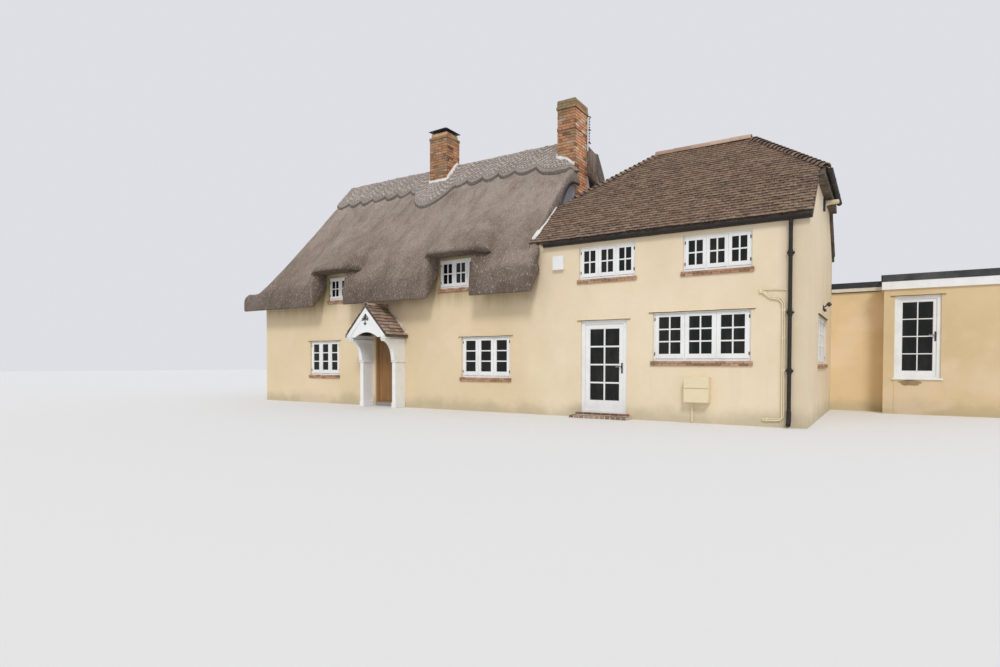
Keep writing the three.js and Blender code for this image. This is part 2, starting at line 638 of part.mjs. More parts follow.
// The old gable between cottage and wing carries the right chimney on a level seat
function partyWall() {
  const wall = block(PARTY_LEFT, FRONT, 0, WING_LEFT, BACK, THATCH_RIDGE);
  const seat = block(PARTY_LEFT - 10, RIGHT_STACK.y0 - GAP, STACK_SEAT, WING_LEFT + 10, RIGHT_STACK.y1 + GAP,
    ABOVE_ALL);
  return without(wall, [underThatch, seat]);
}
add('party_wall', geometryOf(partyWall()), render);

// Wing walls stand under the tiled roof, and under the thatch where it overhangs their left end
function wingWall(body) {
  return body.intersect(underTiles).subtract(underThatch);
}
const WING_TOP = 4200;
const wingDoorRight = WING_DOOR.x + WING_DOOR.width;
const wingDoorHead = WING_DOOR.sill + WING_DOOR.height;
const WING_FRONT_INSIDE = FRONT + WING_WALL;
const WING_BACK_INSIDE = BACK - WING_WALL;
const wingWindows = FRONT_WINDOWS.filter((w) => w.x > WING_LEFT);
add('wing_front_wall_left', geometryOf(
  block(WING_LEFT, FRONT, 0, WING_DOOR.x, WING_FRONT_INSIDE, wingDoorHead)), render);
add('wing_front_wall_right', geometryOf(
  longWall(wingDoorRight, WING_RIGHT, FRONT, WING_FRONT_INSIDE, 0, wingDoorHead, FRONT_WINDOWS)), render);
add('wing_front_wall_upper', geometryOf(wingWall(without(
  block(WING_LEFT, FRONT, wingDoorHead, WING_RIGHT, WING_FRONT_INSIDE, WING_TOP),
  wingWindows.map((w) => windowHole(w, FRONT, WING_FRONT_INSIDE))))), render);
add('wing_back_wall', geometryOf(wingWall(
  longWall(WING_LEFT, WING_RIGHT, WING_BACK_INSIDE, BACK, 0, WING_TOP, BACK_WINDOWS))), render);

function gableWall() {
  const w = GABLE_WINDOW;
  const x0 = WING_RIGHT - WING_WALL;
  const hole = block(x0 - 50, w.y, w.sill, WING_RIGHT + 50, w.y + w.width, w.sill + w.height);
  const wall = block(x0, WING_FRONT_INSIDE, 0, WING_RIGHT, WING_BACK_INSIDE, TILE_RIDGE_Z);
  return without(wall.intersect(underTiles), [hole]);
}
add('wing_gable_wall', geometryOf(gableWall()), render);

// Floors
const INSIDE_LEFT = COTTAGE_LEFT + COTTAGE_WALL;
const INSIDE_RIGHT = WING_RIGHT - WING_WALL;
const cottageSlab = block(INSIDE_LEFT, FRONT_INSIDE, 0, PARTY_LEFT, BACK_INSIDE, GROUND_FLOOR);
const frontDoorSill = block(doorLeft, FRONT, 0, doorRight, FRONT_INSIDE, FRONT_DOOR.sill);
add('cottage_ground_floor', geometryOf(cottageSlab.add(frontDoorSill)), slab);
const wingSlab = block(WING_LEFT, WING_FRONT_INSIDE, 0, INSIDE_RIGHT, WING_BACK_INSIDE, GROUND_FLOOR);
const wingDoorSill = block(WING_DOOR.x, FRONT, 0, wingDoorRight, WING_FRONT_INSIDE, WING_DOOR.sill);
add('wing_ground_floor', geometryOf(wingSlab.add(wingDoorSill)), slab);

function upperFloor(x0, y0, x1, y1, top) {
  return block(x0, y0, top - UPPER_FLOOR_DEPTH, x1, y1, top);
}
const cottageUpper = upperFloor(INSIDE_LEFT, FRONT_INSIDE, PARTY_LEFT, BACK_INSIDE, COTTAGE_UPPER_FLOOR);
const wingUpper = upperFloor(WING_LEFT, WING_FRONT_INSIDE, INSIDE_RIGHT, WING_BACK_INSIDE, WING_UPPER_FLOOR);
add('cottage_upper_floor', geometryOf(cottageUpper.subtract(stackHole(LEFT_STACK))), boards);
add('wing_upper_floor', geometryOf(wingUpper), boards);

// Windows: a frame with upright mullions between its lights, each light closed by its pane
function windowBody(w, across, out, inward) {
  const place = (a0, a1, d0, d1, z0, z1) => {
    const [near, far] = [out + inward * d0, out + inward * d1].sort((a, b) => a - b);
    return across === 'x' ? block(a0, near, z0, a1, far, z1) : block(near, a0, z0, far, a1, z1);
  };
  const start = across === 'x' ? w.x : w.y;
  const front = FRAME_SETBACK;
  const back = FRAME_SETBACK + FRAME_DEPTH;
  const paneFront = (front + back - PANE) / 2;
  const clear = (w.width - FRAME_WIDTH * (w.lights + 1)) / w.lights;
  const low = w.sill + FRAME_WIDTH;
  const high = w.sill + w.height - FRAME_WIDTH;
  const pockets = Array.from({ length: w.lights }, (_, i) => {
    const a = start + FRAME_WIDTH + i * (clear + FRAME_WIDTH);
    return [
      place(a, a + clear, front - 10, paneFront, low, high),
      place(a, a + clear, paneFront + PANE, back + 10, low, high),
    ];
  }).flat();
  return without(place(start, start + w.width, front, back, w.sill, w.sill + w.height), pockets);
}
for (const w of FRONT_WINDOWS) add(w.name, geometryOf(windowBody(w, 'x', FRONT, 1)), whitePaint);
for (const w of BACK_WINDOWS) add(w.name, geometryOf(windowBody(w, 'x', BACK, -1)), whitePaint);
add(GABLE_WINDOW.name, geometryOf(windowBody(GABLE_WINDOW, 'y', WING_RIGHT, -1)), whitePaint);

// Doors: a frame with an outer stop, and a leaf that opens inwards on lift-off hinges at its left
function hingeHeights(door) {
  const low = door.sill + 250;
  const high = door.sill + door.height - 300;
  return [low, (low + high) / 2, high];
}

function doorPlaces(door, wallFace) {
  const frameFront = wallFace + DOOR_SETBACK;
  const leafFront = frameFront + STOP_DEPTH + LEAF_CLEARANCE;
  return {
    frameFront,
    frameBack: leafFront + LEAF,
    leafFront,
    leafBack: leafFront + LEAF,
    leafLeft: door.x + FRAME_WIDTH + LEAF_CLEARANCE,
    leafRight: door.x + door.width - FRAME_WIDTH - LEAF_CLEARANCE,
    leafLow: door.sill + SILL_RISE + LEAF_CLEARANCE,
    leafHigh: door.sill + door.height - FRAME_WIDTH - LEAF_CLEARANCE,
    axisX: door.x + FRAME_WIDTH + LEAF_CLEARANCE / 2,
    axisY: leafFront + LEAF + HINGE_OFF_FACE,
  };
}

function doorFrame(door, wallFace) {
  const p = doorPlaces(door, wallFace);
  const x1 = door.x + door.width;
  const top = door.sill + door.height;
  const inner = FRAME_WIDTH + STOP;
  const ring = block(door.x, p.frameFront, door.sill, x1, p.frameBack, top);
  const way = block(door.x + FRAME_WIDTH, p.frameFront + STOP_DEPTH, door.sill + SILL_RISE,
    x1 - FRAME_WIDTH, p.frameBack + 10, top - FRAME_WIDTH);
  const view = block(door.x + inner, p.frameFront - 10, door.sill + SILL_RISE + STOP - 3,
    x1 - inner, p.frameBack, top - inner);
  const hinges = hingeHeights(door).flatMap((z) => [
    post(p.axisX, p.axisY, z - KNUCKLE, z, HINGE_RADIUS, HINGE_SIDES),
    post(p.axisX, p.axisY, z - 5, z + KNUCKLE - 8, PIN_RADIUS, HINGE_SIDES),
    block(door.x + 25, p.frameBack - 5, z - KNUCKLE, p.axisX, p.frameBack + 4, z),
  ]);
  return joined([without(ring, [way, view]), ...hinges]);
}

function doorKnuckles(door, wallFace) {
  const p = doorPlaces(door, wallFace);
  return hingeHeights(door).map((z) => {
    const low = z + PIN_CLEARANCE;
    const knuckle = post(p.axisX, p.axisY, low, z + KNUCKLE, HINGE_RADIUS, HINGE_SIDES);
    const flap = block(p.axisX, p.leafBack - 5, low, p.leafLeft + 35, p.leafBack + 4, z + KNUCKLE);
    const boreRadius = PIN_RADIUS + PIN_CLEARANCE;
    const bore = post(p.axisX, p.axisY, z - 5, z + KNUCKLE - 6, boreRadius, HINGE_SIDES);
    return knuckle.add(flap).subtract(bore);
  });
}

function doorHandle(door, wallFace) {
  const p = doorPlaces(door, wallFace);
  const x = p.leafRight - door.handleIn;
  const z = door.sill + 950;
  const plate = block(x - 18, p.leafFront - 8, z - 110, x + 18, p.leafFront + 5, z + 110);
  const neck = block(x - 10, p.leafFront - 50, z + 20, x + 10, p.leafFront, z + 40);
  const lever = block(x - 120, p.leafFront - 50, z + 20, x + 10, p.leafFront - 36, z + 40);
  return [plate, neck, lever];
}

function doorLeaf(door, wallFace) {
  const p = doorPlaces(door, wallFace);
  const whole = block(p.leafLeft, p.leafFront, p.leafLow, p.leafRight, p.leafBack, p.leafHigh);
  const opening = door.glazed ? [block(p.leafLeft + door.rail, p.leafFront - 10, p.leafLow + door.foot,
    p.leafRight - door.rail, p.leafBack + 10, p.leafHigh - door.rail)] : [];
  return joined([without(whole, opening), ...doorKnuckles(door, wallFace), ...doorHandle(door, wallFace)]);
}

function doorGlass(door, wallFace) {
  const p = doorPlaces(door, wallFace);
  const middle = (p.leafFront + p.leafBack) / 2;
  return block(p.leafLeft + door.rail, middle - PANE / 2, p.leafLow + door.foot, p.leafRight - door.rail,
    middle + PANE / 2, p.leafHigh - door.rail);
}

add('wing_door_frame', geometryOf(doorFrame(WING_DOOR, FRONT)), whitePaint);
add('wing_door_leaf', geometryOf(doorLeaf(WING_DOOR, FRONT)), whitePaint);
add('wing_door_glass', geometryOf(doorGlass(WING_DOOR, FRONT)), glass);
add('front_door_frame', geometryOf(doorFrame(FRONT_DOOR, FRONT)), oak);
add('front_door_leaf', geometryOf(doorLeaf(FRONT_DOOR, FRONT)), oak);
add('garden_room_door_frame', geometryOf(doorFrame(GARDEN_DOOR, ROOM_FRONT)), whitePaint);
add('garden_room_door_leaf', geometryOf(doorLeaf(GARDEN_DOOR, ROOM_FRONT)), whitePaint);
add('garden_room_door_glass', geometryOf(doorGlass(GARDEN_DOOR, ROOM_FRONT)), glass);

// Brick steps below the wing's door
function steps() {
  const x0 = WING_DOOR.x - 60;
  const x1 = WING_DOOR.x + WING_DOOR.width + 60;
  const lower = block(x0 - 60, FRONT - 330, 0, x1 + 60, FRONT, 55);
  const upper = block(x0, FRONT - 120, 0, x1, FRONT, WING_DOOR.sill);
  return lower.add(upper);
}
add('wing_door_steps', geometryOf(steps()), brick);

// Garden room and link: walls, raised floor and one stepped flat roof
const roomInsideLeft = ROOM_LEFT + ROOM_WALL;
const roomDoorRight = GARDEN_DOOR.x + GARDEN_DOOR.width;
const roomDoorHead = GARDEN_DOOR.sill + GARDEN_DOOR.height;
const roomFrontInside = ROOM_FRONT + ROOM_WALL;
const linkFrontInside = LINK_FRONT + ROOM_WALL;
const annexeBackInside = ANNEXE_BACK - ROOM_WALL;

function annexeLeftWalls() {
  const link = block(WING_RIGHT, LINK_FRONT, 0, roomInsideLeft, linkFrontInside, LINK_CEILING);
  const side = block(ROOM_LEFT, roomFrontInside, 0, roomInsideLeft, linkFrontInside, ROOM_CEILING);
  const pier = block(ROOM_LEFT, ROOM_FRONT, 0, GARDEN_DOOR.x, roomFrontInside, ROOM_CEILING);
  return joined([link, side, pier]);
}

function annexeBackWalls() {
  const back = block(LINK_LEFT, annexeBackInside, 0, ROOM_RIGHT, ANNEXE_BACK, LINK_CEILING);
  const backUnderRoom = block(ROOM_LEFT, annexeBackInside, 0, ROOM_RIGHT, ANNEXE_BACK, ROOM_CEILING);
  const linkEnd = block(LINK_LEFT, LINK_FRONT, 0, LINK_LEFT + ROOM_WALL, ANNEXE_BACK, LINK_CEILING);
  return joined([back, backUnderRoom, linkEnd]);
}

function roomRightWalls() {
  const front = block(roomDoorRight, ROOM_FRONT, 0, ROOM_RIGHT, roomFrontInside, ROOM_CEILING);
  const side = block(ROOM_RIGHT - ROOM_WALL, ROOM_FRONT, 0, ROOM_RIGHT, annexeBackInside, ROOM_CEILING);
  return front.add(side);
}

add('annexe_left_walls', geometryOf(annexeLeftWalls()), render);
add('annexe_back_walls', geometryOf(annexeBackWalls()), render);
add('garden_room_right_walls', geometryOf(roomRightWalls()), render);
add('garden_room_wall_over_door', geometryOf(
  block(GARDEN_DOOR.x, ROOM_FRONT, roomDoorHead, roomDoorRight, roomFrontInside, ROOM_CEILING)), render);

// The floor is a raised slab inside the walls, carried through the doorway as its threshold
function annexeFloor() {
  const plate = (x0, y0, x1, y1) => upperFloor(x0, y0, x1, y1, GARDEN_ROOM_FLOOR);
  const linkInsideLeft = LINK_LEFT + ROOM_WALL;
  const room = plate(roomInsideLeft, roomFrontInside, ROOM_RIGHT - ROOM_WALL, annexeBackInside);
  const link = plate(linkInsideLeft, linkFrontInside, roomInsideLeft, annexeBackInside);
  const behindWing = plate(linkInsideLeft, LINK_FRONT, WING_RIGHT, linkFrontInside);
  const threshold = block(GARDEN_DOOR.x, ROOM_FRONT, 0, roomDoorRight, roomFrontInside, GARDEN_DOOR.sill);
  return joined([room, link, behindWing, threshold]);
}
add('annexe_floor', geometryOf(annexeFloor()), slab);

function annexeRoof() {
  const out = ROOM_FASCIA_OUT;
  const back = ANNEXE_BACK + out;
  const room = block(
    ROOM_LEFT - out, ROOM_FRONT - out, ROOM_CEILING, ROOM_RIGHT + out, back, ROOM_ROOF_TOP);
  const link = block(LINK_LEFT - out, LINK_FRONT, LINK_CEILING, ROOM_LEFT, back, LINK_ROOF_TOP);
  const linkEdge = block(
    WING_RIGHT, LINK_FRONT - out, LINK_CEILING, ROOM_LEFT, LINK_FRONT, LINK_ROOF_TOP);
  return joined([room, link, linkEdge]);
}
add('annexe_flat_roof', geometryOf(annexeRoof()), roofFelt);

// Porch: a white timber frame with two side panels, forward brackets and an arched gable
function porchUnderside(fromCentre) {
  return PORCH.ridge - PORCH.roofDepth - PORCH.slope * Math.abs(fromCentre);
}

function porchGable() {
  const half = PORCH.gableHalfWidth;
  const shape = new THREE.Shape();
  shape.moveTo(PORCH.x - half, PORCH.gableFoot);
  shape.lineTo(PORCH.x - PORCH.archHalfWidth, PORCH.gableFoot);
  shape.quadraticCurveTo(
    PORCH.x, PORCH.gableFoot + 2 * PORCH.archRise, PORCH.x + PORCH.archHalfWidth, PORCH.gableFoot);
  shape.lineTo(PORCH.x + half, PORCH.gableFoot);
  shape.lineTo(PORCH.x + half, porchUnderside(half) - GAP);
  shape.lineTo(PORCH.x, porchUnderside(0) - GAP);
  shape.lineTo(PORCH.x - half, porchUnderside(half) - GAP);
  const geometry = new THREE.ExtrudeGeometry(shape, {
    depth: PORCH.gableThickness, bevelEnabled: false, curveSegments: 10,
  });
  geometry.rotateX(Math.PI / 2);
  geometry.translate(0, PORCH.front + PORCH.gableThickness, 0);
  return solid(geometry);
}

function porchSide(side) {
  const low = Math.min(side * PORCH.panelInner, side * PORCH.panelOuter) + PORCH.x;
  const high = Math.max(side * PORCH.panelInner, side * PORCH.panelOuter) + PORCH.x;
  const panel = block(low, PORCH.panelFront, 0, high, FRONT, PORCH.plateHigh);
  const plate = block(low, PORCH.front + 10, PORCH.plateLow, high, FRONT, PORCH.plateHigh);
  const band = block(low - PORCH.capProud, PORCH.panelFront - PORCH.capProud, PORCH.capHeight - PORCH.capBand,
    high + PORCH.capProud, FRONT, PORCH.capHeight);
  const backY = PORCH.panelFront + 20;
  const frontY = PORCH.front + 20;
  const bracket = new THREE.Shape();
  bracket.moveTo(backY, PORCH.capHeight);
  bracket.lineTo(backY, PORCH.plateLow + 20);
  bracket.lineTo(frontY, PORCH.plateLow + 20);
  bracket.lineTo(frontY, PORCH.plateLow - 30);
  bracket.quadraticCurveTo(backY - 80, PORCH.plateLow - 120, backY - 60, PORCH.capHeight);
  const curve = new THREE.ExtrudeGeometry(bracket, {
    depth: high - low, bevelEnabled: false, curveSegments: 8,
  });
  curve.applyMatrix4(new THREE.Matrix4().makeBasis(
    new THREE.Vector3(0, 1, 0), new THREE.Vector3(0, 0, 1), new THREE.Vector3(1, 0, 0)));
  curve.translate(low, 0, 0);
  return joined([panel, plate, band, solid(curve)]);
}
add('porch_frame', geometryOf(joined([porchGable(), porchSide(-1), porchSide(1)])), whitePaint);

function porchRoof() {
  const half = PORCH.halfWidth;
  const top = (x) => PORCH.ridge - PORCH.slope * Math.abs(x);
  return alongY([
    [PORCH.x - half, porchUnderside(half)], [PORCH.x, porchUnderside(0)],
    [PORCH.x + half, porchUnderside(half)],
    [PORCH.x + half, top(half)], [PORCH.x, top(0)], [PORCH.x - half, top(half)],
  ], PORCH.front - PORCH.roofProud, FRONT);
}
add('porch_roof', geometryOf(porchRoof()), clayTile);

// Gutters: half-round troughs with stop ends on brackets, and the front one's downpipe
function troughShape(inner) {
  const r = inner ? GUTTER.radius - GUTTER.wall : GUTTER.radius;
  const shape = new THREE.Shape();
  shape.absarc(0, 0, r, Math.PI, 2 * Math.PI, false);
  if (inner) {
    shape.lineTo(r, 20);
    shape.lineTo(-r, 20);
  }
  return shape;
}

// A trough along X or Y with its open top at a height
function gutter(axis, from, to, centre, top) {
  const body = (inner) => {
    const shorten = inner ? GUTTER.wall : 0;
    const geometry = new THREE.ExtrudeGeometry(troughShape(inner), {
      depth: to - from - 2 * shorten, bevelEnabled: false, curveSegments: GUTTER.sides,
    });
    const basis = axis === 'x'
      ? [new THREE.Vector3(0, 1, 0), new THREE.Vector3(0, 0, 1), new THREE.Vector3(1, 0, 0)]
      : [new THREE.Vector3(-1, 0, 0), new THREE.Vector3(0, 0, 1), new THREE.Vector3(0, 1, 0)];
    geometry.applyMatrix4(new THREE.Matrix4().makeBasis(...basis));
    const start = from + shorten;
    geometry.translate(axis === 'x' ? start : centre, axis === 'x' ? centre : start, top);
    return solid(geometry);
  };
  return body(false).subtract(body(true));
}

function bracketPlaces(from, to) {
  const count = Math.round((to - from) / GUTTER.bracketPitch);
  return Array.from({ length: count }, (_, i) => from + (to - from) * (i + 0.5) / count);
}

// Brackets between a trough's back and the face it hangs on
function eaveGutter(side) {
  const face = side < 0 ? TILE_FRONT_EAVE : TILE_BACK_EAVE;
  const centre = face + side * GUTTER.offFace;
  const trough = gutter('x', EAVE_GUTTER_LEFT, EAVE_GUTTER_RIGHT, centre, EAVE_GUTTER_TOP);
  const back = centre - side * (GUTTER.radius - GUTTER.wall);
  const brackets = bracketPlaces(EAVE_GUTTER_LEFT, EAVE_GUTTER_RIGHT).map((x) => block(
    x - 12, Math.min(back, face), EAVE_GUTTER_TOP - 20, x + 12, Math.max(back, face), EAVE_GUTTER_TOP));
  return joined([trough, ...brackets]);
}

function frontRainwater() {
  const gutterY = TILE_FRONT_EAVE - GUTTER.offFace;
  const pipeY = FRONT - DOWNPIPE.offWall;
  const top = EAVE_GUTTER_TOP - GUTTER.radius + 4;
  const pipe = post(DOWNPIPE.x, pipeY, DOWNPIPE.foot, top, DOWNPIPE.radius, DOWNPIPE.sides);
  const outlet = post(DOWNPIPE.x, gutterY, top - 90, top, DOWNPIPE.radius, DOWNPIPE.sides);
  const clips = [1000, 2050, 3100].map((z) => block(
    DOWNPIPE.x - 45, pipeY, z, DOWNPIPE.x + 45, FRONT, z + 25));
  return joined([eaveGutter(-1), pipe, outlet, ...clips]);
}
add('front_gutter_and_downpipe', geometryOf(frontRainwater()), blackPlastic);
add('rear_gutter', geometryOf(eaveGutter(1)), blackPlastic);

function hipGutter() {
  const centre = HALF_HIP_EAVE_X + GUTTER.offFace;
  const y0 = HIP_GUTTER_END;
  const y1 = 2 * RIDGE_Y - HIP_GUTTER_END;
  const trough = gutter('y', y0, y1, centre, HIP_GUTTER_TOP);
  const inner = centre - GUTTER.radius + GUTTER.wall;
  const brackets = bracketPlaces(y0, y1).map((y) => block(
    HALF_HIP_EAVE_X, y - 12, HIP_GUTTER_TOP - 20, inner, y + 12, HIP_GUTTER_TOP));
  return joined([trough, ...brackets]);
}
add('half_hip_gutter', geometryOf(hipGutter()), blackPlastic);

// Boxes on the front wall
function wallBox({ x, z, width, height, depth }) {
  return block(x, FRONT - depth, z, x + width, FRONT, z + height);
}
add('alarm_box', geometryOf(wallBox(ALARM_BOX)), whitePaint);
add('meter_box', geometryOf(wallBox(METER_BOX)), creamPaint);

export default cottage;
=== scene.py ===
import math
from typing import NamedTuple

import bmesh
import bpy
import numpy as np
from mathutils import Matrix, Vector


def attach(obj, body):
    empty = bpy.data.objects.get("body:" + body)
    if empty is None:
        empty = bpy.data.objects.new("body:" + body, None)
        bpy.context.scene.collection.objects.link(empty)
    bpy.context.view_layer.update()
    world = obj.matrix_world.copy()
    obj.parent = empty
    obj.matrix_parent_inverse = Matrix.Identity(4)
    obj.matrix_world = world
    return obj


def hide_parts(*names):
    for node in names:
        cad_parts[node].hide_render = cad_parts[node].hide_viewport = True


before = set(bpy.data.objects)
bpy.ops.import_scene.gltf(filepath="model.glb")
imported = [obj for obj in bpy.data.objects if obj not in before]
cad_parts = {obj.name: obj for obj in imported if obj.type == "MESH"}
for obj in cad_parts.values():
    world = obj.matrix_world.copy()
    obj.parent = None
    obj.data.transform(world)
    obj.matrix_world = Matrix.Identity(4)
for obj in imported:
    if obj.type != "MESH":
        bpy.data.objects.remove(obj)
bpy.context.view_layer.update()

# Studio: a pale floor, a plain pale surround and soft light, seen from the corner of the garden.
# The camera stands at eye height, turned towards the porch, with a wide lens and a slight rise.
def linked(name, data):
    """A new object that holds this data, in the scene."""
    made = bpy.data.objects.new(name, data)
    bpy.context.scene.collection.objects.link(made)
    return made


floor_mesh = bpy.data.meshes.new("studio_floor")
floor_mesh.from_pydata([(-90, -60, 0), (70, -60, 0), (70, 90, 0), (-90, 90, 0)], [], [(0, 1, 2, 3)])
studio_floor = linked("studio_floor", floor_mesh)
pale_floor = bpy.data.materials.new("pale_floor")
pale_floor.use_nodes = True
floor_shader = pale_floor.node_tree.nodes["Principled BSDF"]
floor_shader.inputs["Base Color"].default_value = (0.78, 0.77, 0.75, 1)
floor_shader.inputs["Roughness"].default_value = 0.9
floor_mesh.materials.append(pale_floor)

eye = Vector((1.272, -11.999, 1.144))
turn = math.radians(32.503)
tilt = math.radians(-1.16)
roll = math.radians(0.14)
lens_data = bpy.data.cameras.new("garden_camera")
lens_data.lens = 21.66
lens_data.sensor_width = 36.0
lens_data.shift_y = 0.0421
lens_data.clip_end = 400
garden_camera = linked("garden_camera", lens_data)
garden_camera.matrix_world = (
    Matrix.Translation(eye) @ Matrix.Rotation(turn, 4, "Z") @ Matrix.Rotation(math.pi / 2 + tilt, 4, "X")
    @ Matrix.Rotation(roll, 4, "Z"))
bpy.context.scene.camera = garden_camera

sky = bpy.data.worlds.new("studio_light")
sky.use_nodes = True
background = sky.node_tree.nodes["Background"]
background.inputs["Color"].default_value = (0.93, 0.95, 1.0, 1)
background.inputs["Strength"].default_value = 0.78
bpy.context.scene.world = sky
bpy.context.scene.view_settings.view_transform = "Standard"

sun_data = bpy.data.lights.new("soft_sun", "SUN")
sun_data.energy = 1.32
sun_data.angle = math.radians(14)
soft_sun = linked("soft_sun", sun_data)
soft_sun.rotation_euler = (math.radians(48), 0, math.radians(28))


# Walls: old rubble and brick walls under a thick coat of lime render, painted cream over and over.
# The coat was thrown on and rubbed up by hand, so it rolls slightly; rain has streaked it, the foot
# is splashed, and below the thatch the drip has left it brown, darkened further with painted shade from
# the eave. A strip by the rainwater pipe is painted in shade, and the annexe's set-back walls are
# painted lighter against the shade of their recess.
def put(tree, kind, settings=None, *values, **named):
    """Adds a node: its settings first, then values or links for its sockets, in order or by name."""
    node = tree.nodes.new(kind)
    for key, value in (settings or {}).items():
        if key == "stops":
            for _ in range(len(value) - 2):
                node.color_ramp.elements.new(0.5)
            for element, (position, colour) in zip(node.color_ramp.elements, value):
                element.position = position
                element.color = (*colour, 1)
        else:
            setattr(node, key, value)
    usable = [socket for socket in node.inputs if socket.enabled and not socket.is_unavailable]
    pairs = list(zip(usable, values))
    for key, value in named.items():
        label = key.replace("_", " ")
        pairs.append((next(socket for socket in usable if socket.name == label), value))
    for socket, value in pairs:
        if isinstance(value, Link):
            tree.links.new(value.socket, socket)
        elif socket.type == "RGBA" and isinstance(value, tuple):
            socket.default_value = (*value[:3], 1)
        else:
            socket.default_value = value
    shown = [socket for socket in node.outputs if socket.enabled and not socket.is_unavailable]
    return Link(tree, shown[0]) if shown else None


class Link:
    """A socket of a node tree. Sums written with it add Math nodes, or Vector Math for vectors."""

    def __init__(self, tree, socket):
        self.tree = tree
        self.socket = socket

    def out(self, name):
        return Link(self.tree, self.socket.node.outputs[name])

    def maths(self, operation, *terms):
        vector = [isinstance(t, tuple) or isinstance(t, Link) and t.socket.type == "VECTOR" for t in terms]
        if not any(vector):
            return put(self.tree, "ShaderNodeMath", {"operation": operation}, *terms)
        spread = [t if isinstance(t, (tuple, Link)) else (t, t, t) for t in terms]
        return put(self.tree, "ShaderNodeVectorMath", {"operation": operation}, *spread)

    def __add__(self, other):
        return self.maths("ADD", self, other)

    def __radd__(self, other):
        return self.maths("ADD", other, self)

    def __sub__(self, other):
        return self.maths("SUBTRACT", self, other)

    def __rsub__(self, other):
        return self.maths("SUBTRACT", other, self)

    def __mul__(self, other):
        return self.maths("MULTIPLY", self, other)

    def __rmul__(self, other):
        return self.maths("MULTIPLY", other, self)

    def __truediv__(self, other):
        return self.maths("DIVIDE", self, other)


class Finish:
    """The surface of one sort of piece: a material whose pattern lies in the piece's own coordinates."""

    def __init__(self, name, **fixed):
        self.material = bpy.data.materials.new(name)
        self.material.use_nodes = True
        self.tree = self.material.node_tree
        self.tree.nodes.clear()
        self.shader = self.tree.nodes.new("ShaderNodeBsdfPrincipled")
        output = self.tree.nodes.new("ShaderNodeOutputMaterial")
        self.tree.links.new(self.shader.outputs["BSDF"], output.inputs["Surface"])
        for key, value in fixed.items():
            self.shader.inputs[key.replace("_", " ")].default_value = value
        self.place = self.node("ShaderNodeTexCoord").out("Object")

    def node(self, kind, settings=None, *values, **named):
        return put(self.tree, kind, settings, *values, **named)

    def noise(self, scale, detail=4.0, rough=0.55, stretch=(1.0, 1.0, 1.0), twist=0.0):
        where = self.node("ShaderNodeMapping", None, Vector=self.place, Scale=stretch)
        return self.node("ShaderNodeTexNoise", None, Vector=where, Scale=scale, Detail=detail,
                         Roughness=rough, Distortion=twist)

    def cells(self, stretch):
        """A number for each cell of a stretched cell pattern."""
        where = self.node("ShaderNodeMapping", None, Vector=self.place, Scale=stretch)
        cell = self.node("ShaderNodeTexVoronoi", {"feature": "F1"}, Vector=where, Scale=1.0)
        return self.node("ShaderNodeSeparateColor", None, cell.out("Color"))

    def axis(self, name):
        return self.node("ShaderNodeSeparateXYZ", None, self.place).out(name)

    def stored(self, name):
        """A number that the mesh keeps for each of its points or units."""
        return self.node("ShaderNodeAttribute", {"attribute_name": name}).out("Fac")

    def between(self, low, high, value):
        """0 below low, 1 above high, smooth between."""
        return self.node("ShaderNodeMapRange", {"interpolation_type": "SMOOTHSTEP"}, Value=value,
                         From_Min=low, From_Max=high)

    def blend(self, share, first, second, how="MIX"):
        return self.node("ShaderNodeMix", {"data_type": "RGBA", "blend_type": how}, Factor=share,
                         A=first, B=second)

    def shade(self, colour, amount):
        """Darkens or lightens a colour by a number that varies over the surface."""
        grey = self.node("ShaderNodeCombineColor", None, amount, amount, amount)
        return self.blend(1.0, colour, grey, "MULTIPLY")

    def coat(self, colour, roughness, height=None, depth=0.002, strength=1.0):
        inputs = self.shader.inputs
        for socket, value in ((inputs["Base Color"], colour), (inputs["Roughness"], roughness)):
            if isinstance(value, Link):
                self.tree.links.new(value.socket, socket)
            elif isinstance(value, tuple):
                socket.default_value = (*value, 1)
            else:
                socket.default_value = value
        if height is not None:
            bump = self.node("ShaderNodeBump", None, Strength=strength, Distance=depth, Height=height)
            self.tree.links.new(bump.socket, inputs["Normal"])
        return self.material


